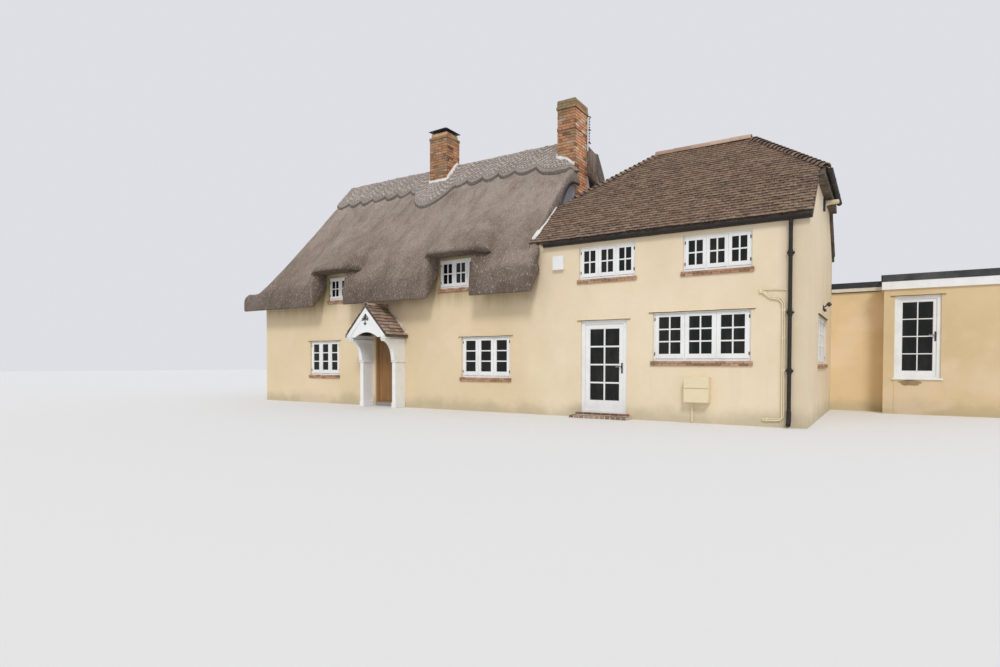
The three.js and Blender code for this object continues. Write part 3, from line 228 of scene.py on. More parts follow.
def lime_render(name, fresh, worn, set_back_light=0.0):
    f = Finish(name)
    up = f.axis("Z")
    along = f.axis("X")
    clouds = f.noise(0.42, 5.0, 0.6, (1.0, 1.0, 0.8))
    patches = f.noise(1.9, 6.0, 0.62)
    runs = f.noise(1.0, 6.0, 0.62, (4.2, 4.2, 0.3), 0.6)
    fine = f.noise(34.0, 4.0, 0.65)
    colour = f.blend(f.between(0.36, 0.66, clouds), fresh, worn)
    under_thatch = 1.0 - f.between(-6.4, -4.6, along + 1.2 * (patches - 0.5))
    colour = f.blend(0.55 * under_thatch, colour, (0.69, 0.535, 0.315))
    colour = f.shade(colour, 0.94 + 0.12 * patches)
    streak = f.between(0.54, 0.78, runs) * f.between(0.40, 0.62, patches)
    colour = f.blend(0.20 * streak, colour, (0.42, 0.34, 0.20))
    splash = 1.0 - f.between(0.02, 0.40, up + 0.5 * (patches - 0.5))
    colour = f.blend(0.45 * splash, colour, (0.30, 0.27, 0.17))
    # Below the cottage's eave: a brown drip stain, with painted shade from the eave in the same band.
    ragged = up + 0.45 * (clouds - 0.5) + 0.5 * (runs - 0.5)
    eave_stain_and_shade = f.between(2.4, 3.15, ragged) * (1.0 - f.between(-5.5, -5.1, along))
    colour = f.blend(0.74 * eave_stain_and_shade, colour, (0.20, 0.145, 0.05))
    repainted = f.between(0.50, 0.66, f.noise(0.75, 3.0, 0.5, (1.0, 1.0, 1.3), 0.5))
    colour = f.blend(0.38 * repainted, colour, (0.80, 0.635, 0.475))
    facade = 1.0 - f.between(-0.149, -0.146, f.axis("Y"))
    # A strip of the facade beside the rainwater pipe is darkened as painted shade.
    pipe_strip_shade = f.between(-0.36, -0.22, along + 0.1 * (patches - 0.5)) * facade
    colour = f.shade(colour, 1.0 - 0.11 * pipe_strip_shade)
    # Walls set back beyond y 5.0 are painted lighter, as painted light against the shade of their recess.
    if set_back_light:
        colour = f.shade(colour, 1.0 + set_back_light * f.between(5.0, 5.1, f.axis("Y")))
    trowel = f.noise(6.0, 4.0, 0.55)
    swell = f.noise(1.3, 2.0, 0.5)
    height = 1.2 * swell + 0.6 * trowel + 0.22 * fine
    return f.coat(colour, 0.84 + 0.1 * patches, height, 0.014, 0.6)


house_render = lime_render("house_render", (0.80, 0.675, 0.485), (0.735, 0.605, 0.41))
annexe_render = lime_render("annexe_render", (0.70, 0.535, 0.31), (0.63, 0.475, 0.265), 0.15)


def finish_nodes(finish, *nodes):
    """Gives its finish to what is kept of the CAD's own solids."""
    for node in nodes:
        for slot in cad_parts[node].material_slots:
            slot.material = finish


finish_nodes(house_render, "wing_front_wall_left", "wing_front_wall_right", "wing_front_wall_upper",
             "wing_back_wall", "wing_gable_wall", "party_wall", "cottage_front_wall_left",
             "cottage_front_wall_right", "cottage_front_wall_over_door", "cottage_back_wall",
             "cottage_end_wall")
finish_nodes(annexe_render, "annexe_left_walls", "annexe_back_walls", "garden_room_right_walls",
             "garden_room_wall_over_door")


# Floors: stone flags on the ground inside the walls, and wide elm boards upstairs on old joists.
# Both lie inside the CAD's own solids and take their pattern from them.
def stone_flags(name, rendered_foot):
    f = Finish(name)
    flags = f.node("ShaderNodeTexBrick", {"offset": 0.5}, Vector=f.place, Color1=(0.34, 0.31, 0.27),
                   Color2=(0.27, 0.25, 0.22), Mortar=(0.16, 0.15, 0.13), Scale=1.0, Mortar_Size=0.008,
                   Brick_Width=0.75, Row_Height=0.5)
    cloud = f.noise(3.0, 6.0, 0.65)
    joint = flags.out("Fac")
    colour = f.shade(flags, 0.8 + 0.4 * cloud)
    if rendered_foot:
        below_door = (1.0 - f.between(4.80, 4.84, f.axis("Y"))) * (1.0 - f.between(0.822, 0.826, f.axis("Z")))
        colour = f.blend(below_door, colour, (0.66, 0.505, 0.29))
    return f.coat(colour, 0.75 + 0.15 * cloud, 0.6 * (1.0 - joint) + 0.3 * f.noise(25.0), 0.004)


def elm_boards():
    f = Finish("elm_boards")
    boards = f.node("ShaderNodeTexBrick", {"offset": 0.37}, Vector=f.place, Color1=(0.26, 0.14, 0.065),
                    Color2=(0.33, 0.19, 0.09), Mortar=(0.03, 0.02, 0.012), Scale=1.0, Mortar_Size=0.003,
                    Brick_Width=2.6, Row_Height=0.22)
    grain = f.noise(3.0, 6.0, 0.6, (1.0, 22.0, 22.0), 0.8)
    return f.coat(f.shade(boards, 0.7 + 0.6 * grain), 0.55 + 0.2 * grain,
                  0.7 * (1.0 - boards.out("Fac")) + 0.2 * grain, 0.003)


finish_nodes(stone_flags("stone_flags", False), "cottage_ground_floor", "wing_ground_floor")
finish_nodes(stone_flags("raised_stone_flags", True), "annexe_floor")
finish_nodes(elm_boards(), "cottage_upper_floor", "wing_upper_floor")


# Thatch: one coat of combed wheat reed, some 0.4 m thick, pinned to the rafters course by course and
# dressed with a leggett so that it flows over the brows, sweeps out at the left end and is cut square
# at the eaves. Weather has turned it grey-brown; the cut ends of the stems show at every edge.
RIDGE_Y = 2.55
EAVE_Y = -0.68
THATCH_LEFT = -15.2
THATCH_RIGHT = -5.11
HIP_TOP_X = -13.9
COAT_RIDGE = 6.915
COAT_DEPTH = 0.585
STACK_SIDE_X = -5.42
STACK_FRONT_Y = 2.0
STACK_BACK_Y = 2.74
COAT_PITCH = 1.17
HALF_HIP_X = -6.05
VERGE_FROM_X = -5.6


def soft_step(low, high, value):
    t = np.clip((value - low) / (high - low), 0, 1)
    return t * t * (3 - 2 * t)


def soft_min(a, b, width):
    near = np.clip(width - np.abs(a - b), 0, None) / width
    return np.minimum(a, b) - near * near * width / 4


def coat_slope(y):
    return COAT_RIDGE - COAT_PITCH * (np.hypot(y - RIDGE_Y, 0.07) - 0.07)


coat_eave = coat_slope(EAVE_Y)


def swept_hip(x):
    along = np.clip((x - THATCH_LEFT) / (HIP_TOP_X - THATCH_LEFT), 0, 1.5)
    return coat_eave + (COAT_RIDGE - coat_eave) * along ** 5


def half_hip(x, y):
    past = x - HALF_HIP_X
    share = np.where(past > 0, 1 - soft_step(STACK_FRONT_Y, STACK_BACK_Y, y), 1)
    return COAT_RIDGE + 0.13 - 1.3 * past * share


front_brows = ((-12.11, -10.96, 0.88), (-8.07, -6.83, 1.0))
back_brows = ((-12.11, -10.96, 0.95), (-8.07, -6.83, 0.95))


def from_eave(y):
    return np.minimum(y - EAVE_Y, 2 * RIDGE_Y - EAVE_Y - y)


def brow_fade(y):
    return np.clip(1 - from_eave(y) / 2.2, 0, 1) ** 1.5


def cheek(at, x):
    return soft_step(at - 0.03, at + 0.03, x)


def lip_line(brow, x):
    """How far in from the eave a brow's lip lies: on its right it turns back to meet the slope."""
    return 0.48 * np.clip((x - brow[1]) / 0.34, 0, 1)


def brow_swell(brow, x, y):
    left_x, right_x, lift = brow
    up = soft_step(0.1, 1.3, from_eave(y))
    left = soft_step(left_x - 0.42 - 0.5 * up, left_x + 0.08 + 0.2 * up, x)
    over_lip = soft_step(right_x - 0.1, right_x + 1.0, x)
    return lift * brow_fade(y) * left * (1 - over_lip)


def brow_top(brow, x, y):
    right_x = brow[1]
    start = 0.1 + lip_line(brow, x)
    rise = 0.25 + 1.1 * soft_step(right_x + 0.3, right_x + 0.75, x)
    behind_lip = soft_step(start, start + rise, from_eave(y))
    return brow_swell(brow, x, y) * (1 - cheek(right_x, x) * (1 - behind_lip))


def brow_underside(brow, x, y):
    left_x, right_x, lift = brow
    splay = soft_step(0.24, 0.53, from_eave(y))
    return (lift * brow_fade(y) * cheek(left_x - 0.02 * splay, x)
            * (1 - cheek(right_x + 0.2 * splay, x)))


def brows_at(x, y, shape):
    front = np.maximum.reduce([shape(brow, x, y) for brow in front_brows])
    back = np.maximum.reduce([shape(brow, x, y) for brow in back_brows])
    return np.where(y < RIDGE_Y, front, back)


def round_off(distance, reach, amount):
    short = np.clip(1 - distance / reach, 0, 1)
    return amount * (1 - np.sqrt(1 - short * short))


def from_verge(x):
    return np.clip(np.minimum(x - THATCH_LEFT, THATCH_RIGHT - x), 0, None)


def from_thatch_edge(x, y):
    return np.clip(np.minimum(from_verge(x), from_eave(y)), 0, None)


def smooth_coat(x, y, swell):
    lip = soft_step(0.25, 0.6, swell)
    thinned = 0.15 * lip * (1 - soft_step(0.0, 0.8, from_eave(y)))
    slope = coat_slope(y) + 0.8 * swell - thinned
    ends = soft_min(swept_hip(x), half_hip(x, y), 0.26)
    at_eave = np.clip(from_eave(y), 0, None)
    blunt = round_off(at_eave, 0.15, 0.19) * (1 - lip) + round_off(at_eave, 0.035, 0.05) * lip
    return soft_min(slope, ends, 0.26) - np.maximum(blunt, round_off(from_verge(x), 0.09, 0.1))


def coat_top(x, y):
    return smooth_coat(x, y, brows_at(x, y, brow_top))


def coat_underside(x, y):
    slope = coat_slope(y) + brows_at(x, y, brow_underside) - COAT_DEPTH
    ends = np.minimum(swept_hip(x - 0.3) - 0.42, half_hip(x, y) - COAT_DEPTH)
    return soft_min(slope, ends, 0.13) + np.maximum(round_off(np.clip(from_eave(y), 0, None), 0.11, 0.12),
                                                    round_off(from_verge(x), 0.06, 0.05))


def dressing(x, y, size, depth, seed):
    """Soft swells left by hand, from a lattice of random heights smoothed between its points."""
    lattice = np.random.default_rng(seed).uniform(-1, 1, (90, 60))
    u = (x - THATCH_LEFT) / size
    v = (y - EAVE_Y) / size
    i = np.floor(u).astype(int)
    j = np.floor(v).astype(int)
    fu = u - i
    fv = v - j
    fu = fu * fu * (3 - 2 * fu)
    fv = fv * fv * (3 - 2 * fv)
    a = lattice[i % 90, j % 60] * (1 - fu) + lattice[(i + 1) % 90, j % 60] * fu
    b = lattice[i % 90, (j + 1) % 60] * (1 - fu) + lattice[(i + 1) % 90, (j + 1) % 60] * fu
    return depth * (a * (1 - fv) + b * fv)


def straw_shell(name, stations, far_y, near_y, top, bottom, rows, bottom_rows):
    """A closed body of straw: a fine top and a coarser underside that share their rims.

    Rows run from far_y(x) at share 0 to near_y(x) at share 1."""
    x = np.asarray(stations)[:, None]
    shares = np.asarray(rows)[None, :]
    y = far_y(x) + (near_y(x) - far_y(x)) * shares
    under_shares = np.asarray(bottom_rows)[None, :]
    under_y = far_y(x) + (near_y(x) - far_y(x)) * under_shares
    x_top = np.broadcast_to(x, y.shape)
    x_under = np.broadcast_to(x, under_y.shape)
    upper = np.stack([x_top, y, top(x_top, y)], -1)
    lower = np.stack([x_under, under_y, bottom(x_under, under_y)], -1)
    n, columns, under_columns = len(stations), upper.shape[1], lower.shape[1]
    points = np.concatenate([upper.reshape(-1, 3), lower.reshape(-1, 3)])
    start = n * columns

    def over(i, j):
        return i * columns + j

    def under(i, j):
        return start + i * under_columns + j

    i, j = np.meshgrid(np.arange(n - 1), np.arange(columns - 1), indexing="ij")
    quads = [np.stack([over(i, j), over(i + 1, j), over(i + 1, j + 1), over(i, j + 1)], -1).reshape(-1, 4)]
    i, j = np.meshgrid(np.arange(n - 1), np.arange(under_columns - 1), indexing="ij")
    quads.append(np.stack([under(i, j), under(i, j + 1), under(i + 1, j + 1), under(i + 1, j)], -1)
                 .reshape(-1, 4))
    i = np.arange(n - 1)
    for side_top, side_low, flip in ((0, 0, False), (columns - 1, under_columns - 1, True)):
        wall = np.stack([over(i, side_top), under(i, side_low), under(i + 1, side_low),
                         over(i + 1, side_top)], -1)
        quads.append(wall[:, ::-1] if flip else wall)
    faces = [tuple(q) for q in np.concatenate(quads).tolist()]
    for i, flip in ((0, True), (n - 1, False)):
        ring = [over(i, j) for j in range(columns)] + [under(i, j) for j in reversed(range(under_columns))]
        faces.append(tuple(reversed(ring)) if flip else tuple(ring))
    mesh = bpy.data.meshes.new(name)
    mesh.from_pydata(points.tolist(), [], faces)
    body = bmesh.new()
    body.from_mesh(mesh)
    bmesh.ops.remove_doubles(body, verts=body.verts, dist=1e-5)
    bmesh.ops.recalc_face_normals(body, faces=body.faces)
    bmesh.ops.triangulate(body, faces=[face for face in body.faces if len(face.verts) > 4])
    body.to_mesh(mesh)
    body.free()
    if sum(1 for p in mesh.polygons if p.normal.z > 0.2) < len(mesh.polygons) // 3:
        mesh.flip_normals()
    mesh.polygons.foreach_set("use_smooth", [True] * len(mesh.polygons))
    return linked(name, mesh)


def points_of(piece):
    """The piece's points as an array, one row each."""
    places = np.zeros(len(piece.data.vertices) * 3)
    piece.data.vertices.foreach_get("co", places)
    return places.reshape(-1, 3)


def keep_numbers(piece, label, values):
    """Stores a number for each point, which the finish reads."""
    layer = piece.data.attributes.new(label, "FLOAT", "POINT")
    layer.data.foreach_set("value", np.asarray(values, dtype=np.float32))


def sag_at_stack(x, y):
    """How much lower the straw lies beside the wing's stack, where it has sunk."""
    tip = soft_step(-5.50, -5.28, x)
    front = (0.13 * soft_step(-5.95, -5.30, x) - 0.12 * tip) * soft_step(1.3, 1.9, y)
    front = front * (y < STACK_FRONT_Y + 0.1)
    rear = 0.28 * soft_step(STACK_SIDE_X, THATCH_RIGHT, x) * (1 - soft_step(3.3, 4.2, y))
    return front + rear * (y > STACK_BACK_Y - 0.1)


def thinned_end(x, y):
    """Share of its depth that the coat loses from below where it runs out over the lead."""
    most = 0.62 + 0.24 * soft_step(1.35, 1.85, y)
    return most * soft_step(-5.75, -5.32, x) * soft_step(0.95, 1.6, y) * (y < STACK_FRONT_Y + 0.1)


def draw_in_verge(piece):
    """Cuts the straw back beside the wing's tiles and lets it sag by the stack."""
    places = points_of(piece)
    x, y, z = places.T.copy()
    places[:, 2] += thinned_end(x, y) * np.clip(coat_top(x, y) - z, 0, COAT_DEPTH) - sag_at_stack(x, y)
    verge = np.interp(y, (-0.22, -0.08, 1.0, 1.9, 2.05, 2.7),
                      (-5.19, -5.40, -5.40, -5.28, -5.27, THATCH_RIGHT))
    beyond = np.clip((x - VERGE_FROM_X) / (THATCH_RIGHT - VERGE_FROM_X), 0, None)
    places[:, 0] = np.where(x > VERGE_FROM_X, VERGE_FROM_X + beyond * (verge - VERGE_FROM_X), x)
    piece.data.vertices.foreach_set("co", places.reshape(-1))
    piece.data.update()


def mark_edges(piece, edge_distance):
    """Stores for each point how much it shows cut stem ends and painted shade: near cut edges and on faces
    underneath.
    """
    keep_numbers(piece, "stem_ends", edge_distance(*points_of(piece).T))


def weathered_straw(name, light, mid, dark):
    f = Finish(name)
    ends = f.stored("stem_ends")
    up = f.axis("Z")
    mottle = f.noise(0.7, 6.0, 0.62, (1.0, 0.8, 0.8), 0.4)
    patch = f.noise(2.6, 6.0, 0.62, (1.0, 0.5, 0.5), 0.5)
    comb = f.noise(1.0, 5.0, 0.75, (26.0, 5.0, 5.0), 0.2)
    tone = f.cells((150.0, 30.0, 30.0))
    tuft_tone = f.cells((78.0, 30.0, 30.0))
    colour = f.blend(f.between(0.36, 0.64, mottle), mid, light)
    lower = 1.0 - f.between(3.1, 4.6, up + 0.8 * (mottle - 0.5))
    colour = f.blend(0.45 * f.between(4.4, 6.0, up), colour, (0.40, 0.33, 0.285))
    colour = f.blend(f.between(0.40, 0.72, patch) * 0.6 + 0.38 * lower, colour, dark)
    colour = f.shade(colour, (0.76 + 0.48 * comb) * (0.78 + 0.44 * tone) * (0.84 + 0.32 * tuft_tone))
    bright = f.between(0.91, 0.97, tuft_tone)
    colour = f.blend((0.18 + 0.34 * lower + 0.2 * ends) * bright, colour, (0.60, 0.53, 0.44))
    pits = f.between(0.3, 0.75, f.node("ShaderNodeTexVoronoi", {"feature": "F1"}, Vector=f.place, Scale=60.0))
    # Dark pits among the cut stem ends; on marked undersides and end faces this darkening is painted shade.
    colour = f.blend(ends * 0.55 * pits, colour, (0.07, 0.05, 0.038))
    height = 0.5 * comb + 0.35 * tone + 0.3 * tuft_tone + 0.25 * patch + ends * 0.5 * (1.0 - pits)
    return f.coat(colour, 0.95, height, 0.022, 0.75)


coat_straw = weathered_straw("coat_straw", (0.335, 0.268, 0.22), (0.245, 0.19, 0.15), (0.155, 0.112, 0.083))


def coat_stations(step):
    """Places along the eave: closer where the hip is steep, at the brows' cheeks and at the verge."""
    base = list(np.arange(THATCH_LEFT, THATCH_RIGHT, step))
    swept = list(np.arange(-14.35, -13.82, step * 0.28)) + list(np.arange(-14.85, -14.35, step * 0.5))
    cheeks = [at + offset for left_x, right_x, _ in front_brows
              for at in (left_x, left_x - 0.1, right_x, right_x + 0.2)
              for offset in np.linspace(-0.035, 0.035, 7)]
    verge = [at for inset in (0.0, 0.004, 0.012, 0.03, 0.06, 0.1, 0.15)
             for at in (THATCH_LEFT + inset, THATCH_RIGHT - inset)]
    stack_side = [STACK_SIDE_X - 0.002, STACK_SIDE_X]
    places = sorted(set(round(float(p), 4) for p in base + swept + cheeks + verge + stack_side))
    kept = [places[0]]
    for place in places[1:]:
        if place - kept[-1] > 0.0019:
            kept.append(place)
    return np.array(kept)


def slope_rows(count):
    nose = np.array([0.0, 0.0012, 0.004, 0.008, 0.014, 0.021, 0.030, 0.038, 0.0465])
    return np.concatenate([nose, np.linspace(0.0465, 1.0, count)[1:]])


under_rows = np.concatenate([[0.0, 0.004, 0.012, 0.022, 0.034], np.linspace(0.05, 1.0, 24)])


def relief(x, y, seed):
    calm = np.clip(from_thatch_edge(x, y) / 0.1, 0, 1)
    return calm * (dressing(x, y, 0.62, 0.022, seed) + dressing(x, y, 0.21, 0.010, seed + 1)
                   + dressing(x, y, 0.085, 0.005, seed + 2))


def below_hood(brow, x, y):
    """1 where a brow's hood lies on the coat, which is kept a little lower there."""
    across = soft_step(brow[0] - 0.3, brow[0] - 0.1, x) * (1 - soft_step(brow[1] + 0.28, brow[1] + 0.4, x))
    return across * (1 - soft_step(0.45, 0.75, from_eave(y)))


def dressed_top(seed):
    def height(x, y):
        return coat_top(x, y) + relief(x, y, seed) - 0.035 * brows_at(x, y, below_hood)
    return height


def set_back(x):
    """Over an opening the coat stops short of the eave, and only the brow's hood runs on."""
    return 0.40 * np.maximum.reduce([cheek(left_x, x) * (1 - cheek(right_x, x))
                                     for left_x, right_x, _ in front_brows])


def beside_stack(x):
    """True from the stack's side outwards, where the straw ends at the stack instead of the ridge."""
    return x > STACK_SIDE_X - 0.0015


def at_front_eave(x):
    return EAVE_Y + set_back(x)


def at_front_inner(x):
    return np.where(beside_stack(x), STACK_FRONT_Y, RIDGE_Y)


def at_back_eave(x):
    return 2 * RIDGE_Y - EAVE_Y - set_back(x)


def at_back_inner(x):
    return np.where(beside_stack(x), STACK_BACK_Y, RIDGE_Y)


def stem_end_and_shade_share(x, y, z):
    edge = from_thatch_edge(x, y)
    low_side = (1 - soft_step(0.02, 0.16, edge)) * (1 - soft_step(0.3, 0.6, brows_at(x, y, brow_top)))
    # The underside and the end face behind the stack are marked so that the finish paints shade on them.
    under = soft_step(0.05, 0.2, coat_top(x, y) - z)
    beyond_stack = (x > STACK_SIDE_X + 0.01) * (y > STACK_BACK_Y - 0.01)
    behind_stack = beyond_stack * (1 - soft_step(0.02, 0.10, y - STACK_BACK_Y))
    return np.maximum.reduce([low_side, under, behind_stack])


def finished(piece, finish, body="building", smooth=False, replaces=()):
    """Hands a piece over: its finish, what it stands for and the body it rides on."""
    if finish:
        piece.data.materials.append(finish)
    if smooth:
        piece.data.polygons.foreach_set("use_smooth", [True] * len(piece.data.polygons))
        piece.data.set_sharp_from_angle(angle=math.radians(40))
    for node in replaces:
        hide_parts(node)
    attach(piece, body)


coat_front = straw_shell("thatch_coat_front", coat_stations(0.034), at_front_eave, at_front_inner,
                         dressed_top(4), coat_underside, slope_rows(150), under_rows)
coat_rear = straw_shell("thatch_coat_rear", coat_stations(0.06), at_back_eave, at_back_inner,
                        dressed_top(9), coat_underside, slope_rows(80), under_rows)


def brow_hood(name, brow, front, seed):
    """The lip of a brow: a tongue of straw that runs out over the opening and dies away on the right."""
    left_x, right_x, _ = brow
    middle = (left_x + right_x) / 2
    ends = (left_x - 0.16, right_x + 0.36)

    def turned(y):
        return y if front else 2 * RIDGE_Y - y

    def lip_at(x):
        tip = 0.05 * soft_step(left_x, left_x - 0.16, x)
        return turned(EAVE_Y - 0.012 + tip + lip_line(brow, x) + 0.012 * np.sin(9 * x))

    def behind(x, y):
        return np.clip(from_eave(y) + 0.012 - lip_line(brow, x), 0, None)

    def lip_height(x):
        return 3.855 + 0.035 * (1 - ((x - middle) / 0.8) ** 2) - 0.80 * (1 - brow[2])

    def taper(x):
        return soft_step(ends[0], ends[0] + 0.14, x) * (1 - soft_step(ends[1] - 0.1, ends[1], x))

    def top(x, y):
        d = behind(x, y)
        smooth = smooth_coat(x, y, brow_swell(brow, x, y)) + relief(x, y, seed)
        sunk = 0.07 * soft_step(0.45, 0.8, d) + 0.10 * (1 - taper(x))
        return soft_min(smooth, lip_height(x) + 1.7 * d, 0.10) - sunk

    def bottom(x, y):
        edge = lip_height(x) - 0.125 * taper(x) - 0.02 * np.clip(behind(x, y) / 0.5, 0, 1)
        return np.minimum(top(x, y) - 0.03, edge)

    steps = np.linspace(ends[0], ends[1], 76)
    hood = straw_shell(name, steps, lip_at, lambda x: turned(np.full_like(x, EAVE_Y + 0.95)), top, bottom,
                       np.concatenate([np.linspace(0, 0.05, 4), np.linspace(0.07, 1, 30)]),
                       np.concatenate([np.linspace(0, 0.05, 3), np.linspace(0.1, 1, 12)]))
    # The hood's underside is marked most strongly, for painted shade beneath its lip.
    mark_edges(hood, lambda x, y, z: np.maximum((1 - soft_step(0.0, 0.02, behind(x, y))) * 0.9,
                                                1.6 * soft_step(0.05, 0.11, top(x, y) - z)))
    finished(hood, coat_straw, replaces=["thatch_front_slope" if front else "thatch_rear_slope"])


brow_hood("brow_hood_front_left", front_brows[0], True, 4)
brow_hood("brow_hood_front_right", front_brows[1], True, 4)
brow_hood("brow_hood_rear_left", back_brows[0], False, 9)
brow_hood("brow_hood_rear_right", back_brows[1], False, 9)
for coat, node in ((coat_front, "thatch_front_slope"), (coat_rear, "thatch_rear_slope")):
    mark_edges(coat, stem_end_and_shade_share)
    draw_in_verge(coat)
    finished(coat, coat_straw, replaces=[node])


# Ridge: a block of sedge laid over the top of the coat, a hand's breadth thick. Its lip is cut in
# scallops, with a round apron below the left stack, and it is sewn down in close wavy rows that
# repeat the scallops up to the ridge.
CAP_DEPTH = 0.11
SCALLOP = 0.52
SCALLOPS_MEET_X = -7.14
APRON_X = -9.8
SLOPE_STRETCH = 1.54
ROW_PITCH = 0.092
STITCH_PITCH = 0.105
STACK_FEET = ((-10.22, -9.47, 1.99, 2.71), (-5.96, THATCH_RIGHT, 1.93, 2.81))


def closed_form(name, points, faces):
    """A closed mesh object from points and faces, turned right way out."""
    mesh = bpy.data.meshes.new(name)
    mesh.from_pydata([tuple(map(float, p)) for p in points], [], faces)
    body = bmesh.new()
    body.from_mesh(mesh)
    bmesh.ops.recalc_face_normals(body, faces=body.faces)
    body.to_mesh(mesh)
    body.free()
    return linked(name, mesh)


def skinned(name, rings, endless=False):
    """A closed solid skinned over rings of corners; an endless one runs back into its first ring."""
    n = len(rings[0])
    count = len(rings)
    faces = [] if endless else [tuple(range(n)), tuple(range(n * (count - 1), n * count))]
    for ring in range(count if endless else count - 1):
        low = n * ring
        high = n * ((ring + 1) % count)
        faces += [(low + i, low + (i + 1) % n, high + (i + 1) % n, high + i) for i in range(n)]
    return closed_form(name, [corner for ring in rings for corner in ring], faces)


def laying_tree():
    """Lays one unit on every point, turned and sized as the point says, with a slight twist and tone."""
    tree = bpy.data.node_groups.new("lay_units", "GeometryNodeTree")
    for label, kind in (("Places", "Geometry"), ("Unit", "Object"), ("Twist", "Float"), ("Seed", "Int"),
                        ("Finish", "Material")):
        tree.interface.new_socket(label, in_out="INPUT", socket_type="NodeSocket" + kind)
    tree.interface.new_socket("Laid", in_out="OUTPUT", socket_type="NodeSocketGeometry")
    given = put(tree, "NodeGroupInput")
    twist = given.out("Twist")
    turn = put(tree, "GeometryNodeInputNamedAttribute", {"data_type": "FLOAT_VECTOR"}, "turn")
    size = put(tree, "GeometryNodeInputNamedAttribute", {"data_type": "FLOAT_VECTOR"}, "size")
    chance = put(tree, "FunctionNodeRandomValue", {"data_type": "FLOAT_VECTOR"}, Min=(-1, -1, -1),
                 Max=(1, 1, 1), Seed=given.out("Seed"))
    spread = put(tree, "ShaderNodeCombineXYZ", None, twist, twist, 1.6 * twist)
    unit = put(tree, "GeometryNodeObjectInfo", {"transform_space": "ORIGINAL"}, given.out("Unit"))
    laid = put(tree, "GeometryNodeInstanceOnPoints", None, Points=given.out("Places"),
               Instance=unit.out("Geometry"), Rotation=turn + chance * spread, Scale=size)
    tone = put(tree, "FunctionNodeRandomValue", {"data_type": "FLOAT"}, Seed=given.out("Seed") + 7)
    marked = put(tree, "GeometryNodeStoreNamedAttribute", {"data_type": "FLOAT", "domain": "INSTANCE"},
                 Geometry=laid, Name="tone", Value=tone)
    whole = put(tree, "GeometryNodeRealizeInstances", None, marked)
    put(tree, "NodeGroupOutput", None, put(tree, "GeometryNodeSetMaterial", None, Geometry=whole,
                                           Material=given.out("Finish")))
    return tree


lay_units = laying_tree()


def lay(name, unit, run, twist, seed, finish):
    """One mesh of a unit laid at each place, turn and size of a run."""
    places, turns, sizes = zip(*run)
    mesh = bpy.data.meshes.new(name)
    mesh.from_pydata([tuple(p) for p in places], [], [])
    for label, values in (("turn", turns), ("size", sizes)):
        layer = mesh.attributes.new(label, "FLOAT_VECTOR", "POINT")
        layer.data.foreach_set("vector", np.asarray(values, dtype=np.float32).reshape(-1))
    piece = linked(name, mesh)
    modifier = piece.modifiers.new("laying", "NODES")
    modifier.node_group = lay_units
    given = {"Unit": unit, "Twist": twist, "Seed": seed, "Finish": finish}
    for item in lay_units.interface.items_tree:
        if item.in_out == "INPUT" and item.name in given:
            modifier[item.identifier] = given[item.name]
    shapes = bpy.context.evaluated_depsgraph_get()
    laid = bpy.data.meshes.new_from_object(piece.evaluated_get(shapes))
    piece.modifiers.remove(modifier)
    piece.data = laid
    laid.name = name
    return piece


def turn_of(across, up):
    """The turn that lays a unit's X along across, its Y up the slope and its Z out of it."""
    across = Vector(across).normalized()
    up = Vector(up).normalized()
    out = across.cross(up)
    return tuple(Matrix((across, up, out)).transposed().to_euler())


def cap_reach(x):
    """How far the block's lip lies from the ridge."""
    scallops = np.where(x > SCALLOPS_MEET_X, (x - SCALLOPS_MEET_X) / 0.68, (x - HIP_TOP_X) / SCALLOP)
    wave = np.abs(np.sin(math.pi * scallops)) ** 0.8
    apron = 1.25 * np.sqrt(np.clip(1 - ((x - APRON_X) / 0.9) ** 2, 0, None))
    end_curve = np.interp(x, (-6.40, -6.30, -6.15, -5.85, -5.5, -5.25, -5.1),
                          (0.72, 0.80, 0.875, 0.915, 0.83, 0.69, 0.66))
    in_end = soft_step(-6.47, -6.42, x)
    scalloped = 0.635 + 0.13 * wave
    return np.maximum(scalloped * (1 - in_end) + end_curve * in_end, apron)


def cap_height(x, y):
    return coat_top(np.minimum(x, THATCH_RIGHT - 0.15), y)


def in_from_lip(x, y):
    return cap_reach(x) - np.abs(y - RIDGE_Y)


def row_number(x, y):
    """Counts the sewn rows from the lip up the slope."""
    return in_from_lip(x, y) * SLOPE_STRETCH / ROW_PITCH


def stitched_rows(x, y):
    """The rolls of sedge between one sewn row and the next."""
    return 0.014 * (1 - np.abs(np.mod(row_number(x, y), 1) * 2 - 1) ** 3)


def cap_top(x, y):
    lip = np.clip(in_from_lip(x, y), 0, None)
    worn = dressing(x, y, 0.3, 0.010, 31)
    thin = np.where(y < STACK_FRONT_Y + 0.01, 0.07 * soft_step(-5.5, THATCH_RIGHT, x), 0)
    return cap_height(x, y) + CAP_DEPTH - thin + worn + stitched_rows(x, y) - round_off(lip, 0.10, 0.055)


def cap_bottom(x, y):
    sunk = 0.03 * soft_step(0.0, 0.12, in_from_lip(x, y))
    return cap_height(x, y) - sunk + 0.004 - 0.34 * soft_step(-5.44, -5.33, x) * (y > STACK_BACK_Y - 0.1)


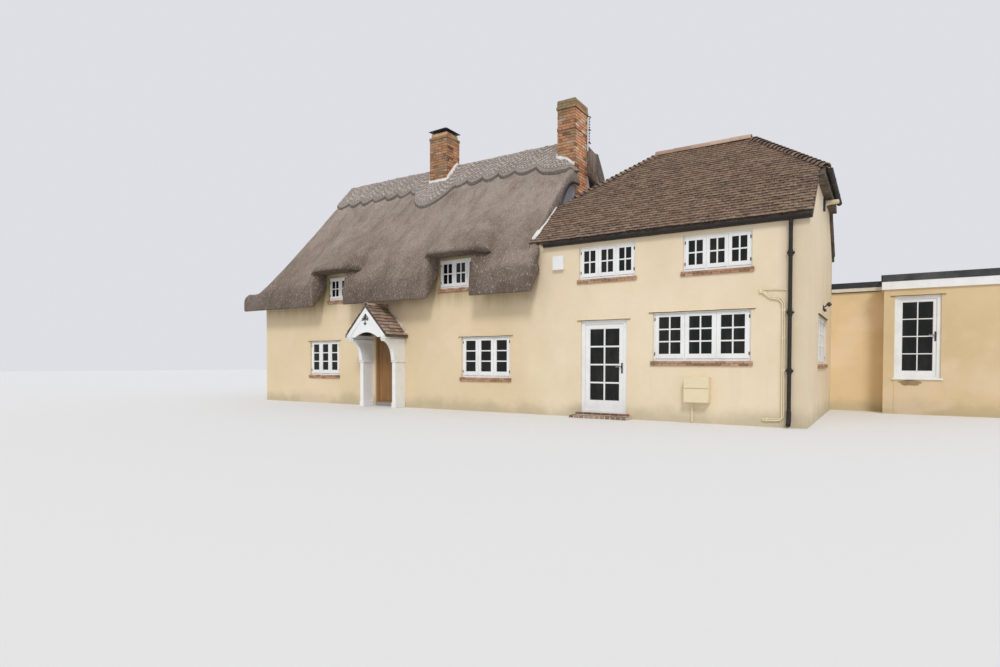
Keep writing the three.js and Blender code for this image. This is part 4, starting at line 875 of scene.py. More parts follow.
def sewn_sedge():
    f = Finish("sewn_sedge")
    ends = f.stored("stem_ends")
    wander = f.noise(7.0, 3.0, 0.6)
    row = f.stored("row_number") + 0.30 * (wander - 0.5)
    within = row.maths("FRACT", row)
    second = row.maths("MODULO", row.maths("FLOOR", row), 2.0)
    leaning = f.axis("X") / STITCH_PITCH + 0.5 * second + 0.42 * (second * 2.0 - 1.0) * within
    # Dark ticks and row gaps are painted shade between the tufts and the sewn rows.
    tick_shade = f.between(0.10, 0.75, leaning.maths("COSINE", (leaning + 0.5 * wander) * (2 * math.pi)))
    row_gap_shade = 1.0 - f.between(0.0, 0.22, within)
    stitch_shade = row.maths("MAXIMUM", 0.5 * tick_shade * f.between(0.05, 0.3, within), 0.9 * row_gap_shade)
    mottle = f.noise(1.1, 6.0, 0.65, (1.0, 0.8, 0.8), 0.4)
    speck = f.noise(46.0, 4.0, 0.7)
    tone = f.cells((110.0, 34.0, 34.0))
    colour = f.blend(f.between(0.35, 0.65, mottle), (0.27, 0.23, 0.197), (0.35, 0.30, 0.265))
    colour = f.shade(colour, (0.72 + 0.56 * speck) * (0.78 + 0.44 * tone))
    colour = f.blend(0.66 * stitch_shade, colour, (0.125, 0.10, 0.083))
    # The lip face and the block's end behind the stack are painted dark, as shade.
    colour = f.blend(0.7 * ends, colour, (0.10, 0.08, 0.065))
    height = 0.5 * speck + 0.4 * tone - 0.6 * stitch_shade
    return f.coat(colour, 0.95, height, 0.012, 0.7)


def cap_stations():
    places = np.concatenate([np.arange(HIP_TOP_X - 0.03, THATCH_RIGHT + 0.02, 0.0205),
                             [STACK_SIDE_X - 0.002, STACK_SIDE_X, THATCH_RIGHT + 0.02]])
    return np.unique(np.round(places, 4))


def cap_back_inner(x):
    """Behind the stack the block ends a little before the coat's end wall."""
    return at_back_inner(x) - 0.014 * beside_stack(x)


sedge = sewn_sedge()
cap_rows = np.concatenate([[0.0, 0.006, 0.014, 0.024], np.linspace(0.035, 1.0, 74)])
cap_under_rows = np.concatenate([[0.0, 0.05], np.linspace(0.12, 1.0, 6)])
for name, side, inner in (("ridge_cap_front", -1, at_front_inner), ("ridge_cap_rear", 1, cap_back_inner)):
    cap = straw_shell(name, cap_stations(), lambda x, side=side: RIDGE_Y + side * cap_reach(x), inner,
                      cap_top, cap_bottom, cap_rows, cap_under_rows)
    cap.data.set_sharp_from_angle(angle=math.radians(62))
    mark_edges(cap, lambda x, y, z: np.maximum(1 - soft_step(0.0, 0.012, in_from_lip(x, y)),
                                               soft_step(-5.15, -5.12, x) * (y > STACK_BACK_Y - 0.1)))
    keep_numbers(cap, "row_number", row_number(*points_of(cap).T[:2]))
    draw_in_verge(cap)
    finished(cap, sedge, replaces=["thatch_ridge_cap"])


def tuft_unit():
    """A pinch of sedge caught under a stitch: its lower end springs up."""
    rings = [((-half, y, -0.012), (-half, y, lift - 0.006), (0.0, y, lift), (half, y, lift - 0.006),
              (half, y, -0.012))
             for y, half, lift in ((-0.050, 0.014, 0.024), (-0.005, 0.019, 0.019), (0.050, 0.009, 0.003))]
    return skinned("tuft_unit", rings)


def sedge_tufts():
    f = Finish("sedge_tufts")
    speck = f.noise(60.0, 4.0, 0.7)
    mottle = f.noise(1.1, 6.0, 0.65)
    colour = f.blend(f.stored("tone"), (0.42, 0.36, 0.315), (0.62, 0.545, 0.49))
    return f.coat(f.shade(colour, (0.72 + 0.5 * speck) * (0.85 + 0.3 * mottle)), 0.95, speck, 0.006, 0.7)


def tufted(side):
    """Tufts in close rows that follow the lip, leaning one way and then the other."""
    run = []
    step = 0.004
    for row in range(1, 24):
        in_from = (row + 0.45) * ROW_PITCH / SLOPE_STRETCH
        lean = math.radians(24 if row % 2 else -24)
        for x in np.arange(HIP_TOP_X + 0.06 + (0.052 if row % 2 else 0.0), THATCH_RIGHT - 0.02, STITCH_PITCH):
            y = RIDGE_Y + side * (cap_reach(x) - in_from)
            under_stack = any(x0 < x < x1 and y0 < y < y1 for x0, x1, y0, y1 in STACK_FEET)
            if under_stack or (y - RIDGE_Y) * side < 0.03:
                continue
            rise_x = (cap_top(x + step, np.array(y)) - cap_top(x - step, np.array(y))) / (2 * step)
            rise_y = (cap_height(x, np.array(y + step)) - cap_height(x, np.array(y - step))) / (2 * step)
            across = Vector((-side, 0, -side * float(np.clip(rise_x, -0.25, 0.25)))).normalized()
            up = Vector((0, -side, -side * float(rise_y))).normalized()
            across = (across - up * across.dot(up)).normalized()
            turn = turn_of(across * math.cos(lean) + up * math.sin(lean),
                           up * math.cos(lean) - across * math.sin(lean))
            run.append(((float(x), float(y), float(cap_top(x, np.array(y)))), turn, (1, 1, 1)))
    return run


one_tuft = tuft_unit()
tuft_finish = sedge_tufts()
for name, side, seed in (("ridge_tufts_front", -1, 15), ("ridge_tufts_rear", 1, 16)):
    tufts = lay(name, one_tuft, tufted(side), 0.09, seed, tuft_finish)
    draw_in_verge(tufts)
    finished(tufts, None)
bpy.data.objects.remove(one_tuft)


# Tiled roof: hand-made plain clay tiles, 165 mm wide, hung on battens at a 105 mm gauge and laid to
# broken joints. No two lie alike, and lichen and soot have spotted them.
# Half-round tiles close the ridge, bonnet tiles step down the hips, all bedded in lime.
ROOF_EAVE_Z = 3.856
ROOF_EAVE_Y = -0.17
ROOF_PITCH = 0.875
ROOF_RIDGE_Z = 6.236
RIDGE_FROM_X = -3.35
RIDGE_TO_X = -1.36
LEFT_FALL = 0.68
RIGHT_FALL = 0.817
SLOPE_LENGTH = 3.62
TILE_WIDTH = 0.165
TILE_GAUGE = 0.105


def fired_clay(name, deep, mid, pale, lichen):
    f = Finish(name)
    tone = f.stored("tone")
    field = f.noise(0.55, 4.0, 0.6)
    blotch = f.noise(9.0, 6.0, 0.68)
    grit = f.noise(85.0, 3.0, 0.6)
    tail = f.stored("tail")
    colour = f.node("ShaderNodeValToRGB", {"stops": [(0.0, deep), (0.45, mid), (0.8, pale), (1.0, mid)]},
                    tone)
    colour = f.shade(colour, (0.82 + 0.36 * blotch) * (0.84 + 0.32 * field))
    overgrown = f.between(0.52, 0.66, blotch) * f.between(0.3, 0.7, tone + 0.3 * (field - 0.5))
    colour = f.blend(0.5 * lichen * overgrown, colour, (0.36, 0.31, 0.22))
    spots = f.between(0.46, 0.62, f.noise(26.0, 5.0, 0.7))
    colour = f.blend(0.85 * lichen * spots * f.between(0.72, 0.95, tail), colour, (0.47, 0.42, 0.33))
    # Painted shadow just below where the tail of the tile above lies.
    shadow_under_tail = f.between(0.02, 0.10, tail) * (1.0 - f.between(0.36, 0.58, tail))
    colour = f.shade(colour, 1.0 - 0.78 * shadow_under_tail)
    soot = f.between(0.56, 0.72, f.noise(3.2, 6.0, 0.7))
    colour = f.blend(0.45 * soot, colour, (0.045, 0.033, 0.026))
    return f.coat(colour, 0.86 + 0.1 * blotch, 0.5 * blotch + 0.4 * grit, 0.004, 0.6)


def with_tail(unit):
    """Stores 1 at the tail of a tile, the edge that lies lowest, and 0 at its head."""
    heights = points_of(unit)[:, 1]
    keep_numbers(unit, "tail", (heights.max() - heights) / np.ptp(heights))
    return unit


def tile_unit():
    """A plain tile, slightly bowed, tilted so that its tail rests on the course below."""
    points = []
    for lift in (0.0, 0.013):
        for y, z in ((-0.008, 0.021), (0.150, 0.002)):
            points += [(-0.081, y, z + lift), (0.0, y, z + lift + 0.004), (0.081, y, z + lift)]
    faces = [(0, 3, 4, 1), (1, 4, 5, 2), (6, 7, 10, 9), (7, 8, 11, 10), (0, 1, 7, 6), (1, 2, 8, 7),
             (3, 9, 10, 4), (4, 10, 11, 5), (0, 6, 9, 3), (2, 5, 11, 8)]
    return with_tail(closed_form("tile_unit", points, faces))


class TiledPlane:
    """Collects the places of tiles on one slope: course by course, from one edge to the other."""

    def __init__(self):
        self.run = []
        self.chance = np.random.default_rng(77)

    def cover(self, foot, across, up, courses, edges, width=TILE_WIDTH, gauge=TILE_GAUGE, first=-0.035):
        """foot is the slope's corner; edges(height) gives how far along the course starts and ends."""
        foot = Vector(foot)
        across = Vector(across).normalized()
        up = Vector(up).normalized()
        out = across.cross(up)
        turn = turn_of(across, up)
        shrink = gauge / TILE_GAUGE
        for course in range(courses):
            climb = first + course * gauge
            low, high = edges(max(climb + 0.03, 0.0) * up.z)
            if high - low < 0.05:
                continue
            at = low - width * (0.5 if course % 2 else 0.0) - self.chance.uniform(0, 0.02)
            while at < high:
                start = max(at, low)
                end = min(at + width, high)
                at += width
                if end - start < 0.035:
                    continue
                middle = (start + end) / 2
                sag = 0.006 * math.sin(1.7 * middle + 0.21 * course) + self.chance.uniform(-0.002, 0.003)
                slip = self.chance.normal(0, 0.0035)
                place = foot + across * middle + up * (climb + slip) + out * sag
                size = ((end - start) / TILE_WIDTH * 0.985, shrink, 0.6 + 0.4 * shrink)
                self.run.append((place, turn, size))


def side_slopes():
    tiles = TiledPlane()
    courses = int(SLOPE_LENGTH / TILE_GAUGE) + 1

    def edges(height):
        z = ROOF_EAVE_Z + height
        left = max(RIDGE_FROM_X - (ROOF_RIDGE_Z - z) / LEFT_FALL, -5.49)
        right = RIDGE_TO_X + (ROOF_RIDGE_Z - z) / RIGHT_FALL if z > 4.88 else 0.215
        return left, right

    tiles.cover((0, ROOF_EAVE_Y, ROOF_EAVE_Z), (1, 0, 0), (0, 1, ROOF_PITCH), courses, edges)
    tiles.cover((0, 2 * RIDGE_Y - ROOF_EAVE_Y, ROOF_EAVE_Z), (-1, 0, 0), (0, -1, ROOF_PITCH), courses,
                lambda height: tuple(-edge for edge in reversed(edges(height))))
    return tiles.run


def hip_slopes():
    tiles = TiledPlane()
    for foot_x, top_x, inward, fall, courses, first in ((0.3, RIDGE_TO_X, -1, RIGHT_FALL, 21, -0.035),
                                                        (-5.10, RIDGE_FROM_X, 1, LEFT_FALL, 20, 0.0)):
        foot_z = ROOF_RIDGE_Z - fall * abs(top_x - foot_x)

        def edges(height, foot_z=foot_z):
            half_width = (ROOF_RIDGE_Z - foot_z - height) / ROOF_PITCH
            return -half_width, half_width

        tiles.cover((foot_x, RIDGE_Y, foot_z), (0, -inward, 0), (inward, 0, fall), courses, edges,
                    first=first)
    return tiles.run


def laid_run(name, unit, run, twist, seed, finish, replaces=()):
    finished(lay(name, unit, run, twist, seed, finish), None, replaces=replaces)


old_tile = fired_clay("old_tile", (0.122, 0.068, 0.043), (0.182, 0.104, 0.064), (0.232, 0.142, 0.088), 0.8)
one_tile = tile_unit()
laid_run("roof_tiles_slopes", one_tile, side_slopes(), 0.012, 3, old_tile)
laid_run("roof_tiles_hips", one_tile, hip_slopes(), 0.012, 5, old_tile)


def curved_shell(name, arcs):
    """A closed shell from four arcs: the outer and the inner one at its first end, then at its other."""
    n = len(arcs[0])
    faces = [(0, 2 * n, 3 * n, n), (n - 1, 2 * n - 1, 4 * n - 1, 3 * n - 1)]
    for i in range(n - 1):
        faces += [(i, i + 1, 2 * n + i + 1, 2 * n + i), (n + i, 3 * n + i, 3 * n + i + 1, n + i + 1),
                  (i, n + i, n + i + 1, i + 1), (2 * n + i, 2 * n + i + 1, 3 * n + i + 1, 3 * n + i)]
    return closed_form(name, [point for arc in arcs for point in arc], faces)


def arched_unit(name, length, tail, head, thick, reach, lift):
    """An arched tile, wider at its tail; reach is its half turn from the crown."""
    arcs = [[(radius * math.sin(angle), y, z + radius * math.cos(angle) - rim * 0.55)
             for angle in np.linspace(-reach, reach, 9)]
            for rim, y, z in ((tail, 0.0, lift), (head, length, 0.0)) for radius in (rim, rim - thick)]
    return curved_shell(name, arcs)


def along_line(unit_length, start, end, first=0.0):
    """Places and turns for units one after the other, from a low end up to a high one."""
    start = Vector(start)
    end = Vector(end)
    up = (end - start).normalized()
    across = up.cross(Vector((0, 0, 1))).normalized()
    count = int(((end - start).length - first) / unit_length)
    return [(start + up * (first + i * unit_length), turn_of(across, up), (1, 1, 1)) for i in range(count)]


ridge_clay = fired_clay("ridge_clay", (0.29, 0.175, 0.12), (0.40, 0.26, 0.18), (0.52, 0.37, 0.275), 0.35)
bonnet_clay = fired_clay("bonnet_clay", (0.12, 0.07, 0.05), (0.2, 0.125, 0.088), (0.28, 0.19, 0.135), 0.5)
ridge_unit = arched_unit("ridge_unit", 0.46, 0.132, 0.128, 0.016, math.radians(86), 0.006)
ridge_run = along_line(0.43, (RIDGE_FROM_X - 0.12, RIDGE_Y, ROOF_RIDGE_Z + 0.02),
                       (RIDGE_TO_X + 0.16, RIDGE_Y, ROOF_RIDGE_Z + 0.02))
laid_run("ridge_tiles", ridge_unit, ridge_run, 0.006, 11, ridge_clay, ["ridge_and_hip_tiles"])
bonnet_unit = with_tail(arched_unit("bonnet_unit", 0.21, 0.125, 0.075, 0.013, math.radians(72), 0.035))
bonnet_run = []
for side in (-1, 1):
    for foot_x, top_x, back, fall in ((0.31, RIDGE_TO_X, 0.05, RIGHT_FALL),
                                      (-5.02, RIDGE_FROM_X, -0.05, LEFT_FALL)):
        drop = fall * abs(top_x - foot_x)
        bonnet_run += along_line(0.128, (foot_x, RIDGE_Y + side * drop / ROOF_PITCH, ROOF_RIDGE_Z - drop),
                                 (top_x + back, RIDGE_Y, ROOF_RIDGE_Z - 0.02))
laid_run("bonnet_tiles", bonnet_unit, bonnet_run, 0.03, 12, bonnet_clay,
         ["ridge_and_hip_tiles"])


def bed_of_lime():
    """Under the tiles the deck shows only at its edges: grey battens and old mortar."""
    f = Finish("roof_deck")
    cloud = f.noise(6.0, 6.0, 0.65)
    colour = f.blend(f.between(0.4, 0.6, cloud), (0.075, 0.055, 0.042), (0.14, 0.11, 0.085))
    return f.coat(colour, 0.9, cloud + 0.4 * f.noise(40.0), 0.006)


deck_finish = bed_of_lime()
finish_nodes(deck_finish, "tiled_roof")
for used in (one_tile, ridge_unit, bonnet_unit):
    bpy.data.objects.remove(used)


# Stacks: soft red bricks in lime mortar, drawn in by oversailing courses at the top. Their garden
# faces have gone brown with lichen and soot; the other faces are painted lighter, as lit by the sun.
# White mortar fillets seal them to the thatch, and a sheet of lead the right one's foot.
BRICK_LENGTH = 0.215
BRICK_PITCH = 0.225
COURSE_HEIGHT = 0.075


def from_body(name, body):
    """An object that holds what was built in a bmesh."""
    mesh = bpy.data.meshes.new(name)
    body.to_mesh(mesh)
    body.free()
    return linked(name, mesh)


def eased_block(name, size, centre, edge, segments=2):
    """A brick or tile to be laid in a run, with its arrises worn round."""
    body = bmesh.new()
    bmesh.ops.create_cube(body, size=1.0)
    for corner in body.verts:
        corner.co = [middle + side * place for middle, side, place in zip(centre, size, corner.co)]
    bmesh.ops.bevel(body, geom=body.edges[:], offset=edge, segments=segments, affect="EDGES")
    return from_body(name, body)


def brick_courses(x0, x1, y0, y1, top, base, oversails):
    """Bricks round a stack, downwards; oversails give (first, last, out) counted from the top."""
    run = []
    sides = (((1, 0, 0), x1 - x0, ((x0 + x1) / 2, y0)), ((0, 1, 0), y1 - y0, (x1, (y0 + y1) / 2)),
             ((-1, 0, 0), x1 - x0, ((x0 + x1) / 2, y1)), ((0, -1, 0), y1 - y0, (x0, (y0 + y1) / 2)))
    for course in range(int((top - base) / COURSE_HEIGHT)):
        z = top - COURSE_HEIGHT * (course + 1)
        out = max([o for first, last, o in oversails if first <= course <= last], default=0.0)
        odd = course % 2
        for across, width, centre in sides:
            across = Vector(across)
            outward = across.cross(Vector((0, 0, 1)))
            through = bool(across.x) != bool(odd)
            span = width + 2 * out + (0.016 if through else -0.058)
            bricks = max(2, round(span / BRICK_PITCH))
            joints = [0.0, *((i + 1 - odd / 2) / bricks for i in range(bricks - 1 + odd)), 1.0]
            for a, b in zip(joints, joints[1:]):
                middle = Vector((*centre, z)) + across * ((a + b) / 2 - 0.5) * span + outward * out
                length = (b - a) * span - 0.010
                run.append((middle, turn_of(across, (0, 0, 1)), (length / BRICK_LENGTH, 1, 1)))
    return run


def stack_brick(name, weathered_y, moss_from, sunlit_gain):
    f = Finish(name)
    tone = f.stored("tone")
    blotch = f.noise(7.0, 6.0, 0.65)
    grit = f.noise(70.0, 4.0, 0.6)
    pitted = f.between(0.56, 0.68, f.noise(22.0, 5.0, 0.7))
    field = f.noise(1.7, 5.0, 0.6)
    colour = f.node("ShaderNodeValToRGB", {"stops": [
        (0.0, (0.10, 0.06, 0.045)), (0.12, (0.30, 0.125, 0.06)), (0.35, (0.52, 0.235, 0.11)),
        (0.6, (0.56, 0.28, 0.135)), (0.82, (0.40, 0.20, 0.115)), (0.93, (0.60, 0.44, 0.30)),
        (1.0, (0.16, 0.10, 0.07))]}, tone)
    colour = f.shade(colour, (0.52 + 0.96 * blotch) * (0.7 + 0.6 * grit))
    garden_side = 1.0 - f.between(weathered_y, weathered_y + 0.06, f.axis("Y"))
    lichen = f.between(0.42, 0.60, field + 0.25 * (blotch - 0.5))
    # Painted light: every face but the garden one is made lighter, the right stack's most.
    colour = f.shade(colour, sunlit_gain + (1.0 - sunlit_gain) * garden_side)
    colour = f.blend(garden_side * (0.22 + 0.5 * lichen), colour, (0.235, 0.155, 0.085))
    top = f.between(moss_from, moss_from + 0.12, f.axis("Z") + 0.12 * (field - 0.5))
    colour = f.blend(0.75 * top, colour, (0.235, 0.185, 0.095))
    pale = f.between(0.60, 0.70, blotch)
    colour = f.blend(0.35 * pale, colour, (0.46, 0.37, 0.26))
    colour = f.blend(0.7 * pitted, colour, (0.075, 0.048, 0.034))
    green = f.between(0.60, 0.70, f.noise(4.5, 6.0, 0.7))
    colour = f.blend(0.5 * green * garden_side, colour, (0.24, 0.21, 0.075))
    return f.coat(colour, 0.86 + 0.1 * blotch, 0.6 * blotch + 0.5 * grit - 0.8 * pitted, 0.006, 0.8)


def lime_mortar(name, colour_a, colour_b):
    f = Finish(name)
    cloud = f.noise(5.0, 6.0, 0.65)
    colour = f.blend(f.between(0.38, 0.64, cloud), colour_a, colour_b)
    return f.coat(colour, 0.9, cloud + 0.5 * f.noise(60.0), 0.004)


left_stack = (-10.16, -9.53, 2.05, 2.65)
right_stack = (-5.90, -5.41, 2.0, 2.74)
one_brick = eased_block("brick_unit", (BRICK_LENGTH, 0.065, 0.044), (0, 0.0375, -0.014), 0.004, 1)
stack_mortar = lime_mortar("stack_mortar", (0.085, 0.058, 0.040), (0.24, 0.17, 0.115))
left_bricks = brick_courses(*left_stack, 7.80, 6.1, [(0, 0, 0.013)])
right_bricks = brick_courses(*right_stack, 7.89, 4.85, [(0, 1, 0.008), (2, 2, 0.025), (9, 9, 0.010)])
left_brick = stack_brick("left_stack_brick", 2.06, 7.68, 1.05)
laid_run("left_stack_bricks", one_brick, left_bricks, 0.006, 21, left_brick)
right_brick = stack_brick("right_stack_brick", 2.0, 7.62, 1.55)
laid_run("right_stack_bricks", one_brick, right_bricks, 0.006, 22, right_brick)
finish_nodes(stack_mortar, "left_chimney", "right_chimney")
bpy.data.objects.remove(one_brick)


def swept_strip(name, path, section, closed=False):
    """A solid strip: section(point, outward) gives the corners of its cross-section along a path."""
    return skinned(name, [section(Vector(point), Vector(outward)) for point, outward in path], closed)


def profile(*corners):
    """The section of a strip, from how far each corner lies out of the path and above it."""
    return lambda point, outward: [point + outward * out + Vector((0, 0, above)) for out, above in corners]


def fillet_path(x0, x1, y0, y1, sides):
    """A path round a stack at height 0, with the way that each of its sides faces."""
    ends = {"front": ((x0, y0), (x1, y0), (0, -1)), "right": ((x1, y0), (x1, y1), (1, 0)),
            "back": ((x1, y1), (x0, y1), (0, 1)), "left": ((x0, y1), (x0, y0), (-1, 0))}
    path = []
    for side in sides:
        start, end, outward = ends[side]
        for share in np.linspace(0.0, 1.0, 16, endpoint=side != sides[-1] or len(sides) < 4):
            x, y = (a + (b - a) * share for a, b in zip(start, end))
            path.append(((x, y, 0.0), (*outward, 0.0)))
    return path


def fillet_section(point, outward):
    """Mortar struck from the brick down on to the sedge, thicker here and there."""
    def over(reach):
        at = point + outward * reach
        x = np.array(min(max(at.x, HIP_TOP_X), THATCH_RIGHT - 0.02))
        return float(cap_height(x, np.array(at.y)) - sag_at_stack(x, np.array(at.y))) + CAP_DEPTH

    slim = 0.6 if outward.y < 0 else 1.0
    high = 0.095 * slim - (0.02 if outward.y < 0 else 0.0)
    wide = slim * (0.075 + 0.02 * math.sin(23 * point.x + 17 * point.y))
    inside = point - outward * 0.02
    face = point + outward * 0.012
    low = point + outward * wide
    return [Vector((inside.x, inside.y, over(0) + high + 0.005 + 0.015 * math.sin(31 * (point.x + point.y)))),
            Vector((face.x, face.y, over(0) + high)),
            Vector((low.x, low.y, over(wide) + 0.022)),
            Vector((low.x, low.y, over(wide) - 0.03)),
            Vector((inside.x, inside.y, over(0) - 0.06))]


white_mortar = lime_mortar("white_mortar", (0.62, 0.585, 0.53), (0.74, 0.715, 0.67))
all_round = ("front", "right", "back", "left")
left_fillet = swept_strip("left_stack_fillet", fillet_path(*left_stack, all_round), fillet_section, True)
right_fillet = swept_strip("right_stack_fillet", fillet_path(*right_stack, ("left", "front")), fillet_section)
for fillet in (left_fillet, right_fillet):
    finished(fillet, white_mortar, smooth=True)


def flaunching(name, x0, x1, y0, y1, top, high, mortar):
    """The sloped mortar bed on top of a stack, with the dished mouth of its flue."""
    steps = [(0.0, -0.01), (0.0, 0.012), (0.10, high), (0.17, high), (0.175, -0.05)]
    rings = [[(x0 + inset, y0 + inset, top + z), (x1 - inset, y0 + inset, top + z),
              (x1 - inset, y1 - inset, top + z), (x0 + inset, y1 - inset, top + z)] for inset, z in steps]
    finished(skinned(name, rings), mortar)


def rusty_crown():
    """The patched mortar crown: pink where it is new, yellow with lichen and rust where it is old."""
    f = Finish("rusty_crown")
    cloud = f.noise(5.0, 5.0, 0.6)
    patch = f.noise(3.2, 4.0, 0.6, (1.0, 1.0, 1.6))
    colour = f.node("ShaderNodeValToRGB", {"stops": [
        (0.30, (0.14, 0.09, 0.07)), (0.42, (0.50, 0.24, 0.15)), (0.52, (0.56, 0.30, 0.21)),
        (0.60, (0.58, 0.38, 0.12)), (0.72, (0.26, 0.19, 0.11))]}, patch)
    return f.coat(f.shade(colour, 0.7 + 0.6 * cloud), 0.9, cloud + 0.4 * f.noise(60.0), 0.006)


crown_mortar = rusty_crown()
flaunching("left_flaunching", -10.124, -9.566, 2.086, 2.614, 7.90, 0.05, crown_mortar)
crown_sides = swept_strip("left_crown", fillet_path(-10.12, -9.57, 2.09, 2.61, all_round),
                          profile((-0.03, 7.79), (0.022, 7.79), (0.014, 7.86), (0.003, 7.915),
                                  (-0.03, 7.918)), True)
finished(crown_sides, crown_mortar, smooth=True)
flaunching("right_flaunching", *right_stack, 7.89, 0.06, stack_mortar)


def as_one(name, pieces):
    """Joins several made pieces into one mesh."""
    body = bmesh.new()
    for piece in pieces:
        body.from_mesh(piece.data)
        bpy.data.objects.remove(piece)
    return from_body(name, body)


def sheet_lead():
    f = Finish("sheet_lead", Metallic=0.35)
    cloud = f.noise(4.0, 6.0, 0.6)
    colour = f.blend(f.between(0.35, 0.65, cloud), (0.27, 0.28, 0.31), (0.42, 0.43, 0.46))
    return f.coat(colour, 0.5 + 0.2 * cloud, f.noise(9.0, 3.0), 0.008)


def lead_sheets():
    """A sheet up against the straw before the stack, one behind it, and their foot on the tiles."""
    upright = []
    for y in np.linspace(1.0, 1.99, 12):
        x = np.array(STACK_SIDE_X)
        at = (x, np.array(y))
        kept = (1 - thinned_end(*at)) * COAT_DEPTH
        high = float(coat_underside(*at) - sag_at_stack(*at) + COAT_DEPTH - 0.45 * kept)
        upright.append(((-5.40, y, max(high, 4.90)), (1, 0, 0)))

    def sheet(point, outward):
        ripple = 0.006 * math.sin(19 * point.y)
        return [Vector((-5.425, point.y, point.z)), Vector((-5.398 + ripple, point.y, point.z)),
                Vector((-5.395, point.y, 4.87)), Vector((-5.425, point.y, 4.84))]

    def foot(point, outward):
        ripple = 0.008 * math.sin(13 * point.y)
        return [point + Vector((out, 0, above)) for out, above in
                ((-0.15, 0.02), (-0.14, 0.09), (-0.125, 0.065), (0.0, 0.125 + ripple), (0.0, 0.10))]

    dressed = [((-5.26, y, 4.842), (1, 0, 0)) for y in np.linspace(1.45, 3.3, 16)]
    back_edge = ((-5.415, 4.86), (-5.27, 4.86), (-5.30, 5.60), (-5.375, 6.08), (-5.415, 6.10))
    behind = skinned("behind", [[(x, y, z) for x, z in back_edge] for y in (2.722, 2.737)])
    return as_one("stack_lead", [swept_strip("sheet", upright, sheet),
                                 swept_strip("foot", dressed, foot), behind])


finished(lead_sheets(), sheet_lead())


def verge_section(point, outward):
    """Mortar struck between the straw and the first tiles, wavy along both its edges."""
    high = -0.012 + 0.008 * math.sin(29 * point.y)
    low = 0.038 + 0.010 * math.sin(17 * point.y)
    return [point + Vector((out, 0, above)) for out, above in
            ((-0.05, 0.075), (high, 0.066), (low, 0.036), (0.03, 0.0), (-0.05, 0.0))]


verge_path = [((-5.405, y, ROOF_EAVE_Z + (y - ROOF_EAVE_Y) * ROOF_PITCH), (1, 0, 0))
              for y in np.linspace(-0.12, 0.70, 14)]
verge_path += [((-5.395, y, 4.842), (1, 0, 0)) for y in np.linspace(0.95, 1.42, 8)]
finished(swept_strip("verge_mortar", verge_path, verge_section), white_mortar, smooth=True)
gap_outline = ((-0.142, 3.25), (-0.142, 3.79), (0.02, 3.95), (0.3, 4.15), (0.3, 3.25))
filling = skinned("verge_filling", [[(x, y, z) for y, z in gap_outline] for x in (-5.34, -5.095)])
finished(filling, house_render)


def old_iron():
    f = Finish("old_iron", Metallic=0.25)
    cloud = f.noise(6.0, 5.0, 0.6)
    rust = f.between(0.55, 0.7, cloud)
    colour = f.blend(rust, (0.040, 0.037, 0.046), (0.085, 0.056, 0.042))
    return f.coat(colour, 0.5 + 0.3 * cloud, 0.5 * f.noise(50.0), 0.002)


iron = old_iron()
finish_nodes(iron, "chimney_cowl")


# Aerial: a galvanised mast held to the right stack by two bands, and on it an upright rod with short
# dark elements one above the other, held by three clamps.
def tube(name, points, radius, sides=10):
    """A round bar or pipe along points, closed at both ends."""
    points = [Vector(p) for p in points]
    rings = []
    aside = None
    for i, point in enumerate(points):
        ahead = (points[min(i + 1, len(points) - 1)] - points[max(i - 1, 0)]).normalized()
        if aside is None:
            aside = ahead.orthogonal().normalized()
        aside = (aside - ahead * aside.dot(ahead)).normalized()
        other = ahead.cross(aside)
        rings.append([point + (aside * math.cos(a) + other * math.sin(a)) * radius
                      for a in (2 * math.pi * k / sides for k in range(sides))])
    return skinned(name, rings)


def galvanised():
    f = Finish("galvanised", Metallic=0.6)
    cloud = f.noise(9.0, 4.0, 0.6)
    return f.coat(f.blend(cloud, (0.52, 0.53, 0.55), (0.72, 0.73, 0.74)), 0.42 + 0.2 * cloud)


mast_x = -5.325
mast_y = 2.60
mast = as_one("aerial_mast", [
    tube("mast", [(mast_x, mast_y, 6.70), (mast_x, mast_y, 7.55)], 0.021),
    tube("band_low", [(mast_x, mast_y, 6.86), (-5.44, mast_y, 6.86)], 0.014, 8),
    tube("band_high", [(mast_x, mast_y, 7.30), (-5.44, mast_y, 7.30)], 0.014, 8)])
rods = [tube("rod", [(mast_x + 0.048, mast_y, 6.86), (mast_x + 0.048, mast_y, 7.60)], 0.006, 8)]
for z in np.arange(6.93, 7.58, 0.075):
    rods.append(tube("element", [(mast_x + 0.030, mast_y, z), (mast_x + 0.066, mast_y, z + 0.004)], 0.010, 6))
for z in (6.90, 7.24, 7.575):
    rods += [tube("clamp", [(mast_x - 0.025, mast_y, z + 0.028), (mast_x + 0.052, mast_y, z + 0.012),
                            (mast_x + 0.085, mast_y, z - 0.022)], 0.013, 6),
             tube("clamp", [(mast_x - 0.025, mast_y + aside, z) for aside in (-0.03, 0.03)], 0.012, 6)]
finished(mast, galvanised(), smooth=True)
finished(as_one("aerial_rods", rods), iron, smooth=True)


# Windows: painted softwood casements, three lights to a frame. The sashes lap over the frame on
# black butt hinges, and slender bars hold small panes of glass in putty. Red creasing tiles make
# the sills, and a drip ledge of render runs over the heads of the lower ones.
def boards(name, boxes, edge=0.003):
    """Planed boards from pairs of opposite corners, with every arris eased."""
    body = bmesh.new()
    for one, other in boxes:
        for corner in bmesh.ops.create_cube(body, size=1.0)["verts"]:
            corner.co = [(min if corner.co[axis] < 0 else max)(one[axis], other[axis]) for axis in range(3)]
    bmesh.ops.bevel(body, geom=body.edges[:], offset=edge, segments=1, affect="EDGES", clamp_overlap=True)
    return from_body(name, body)


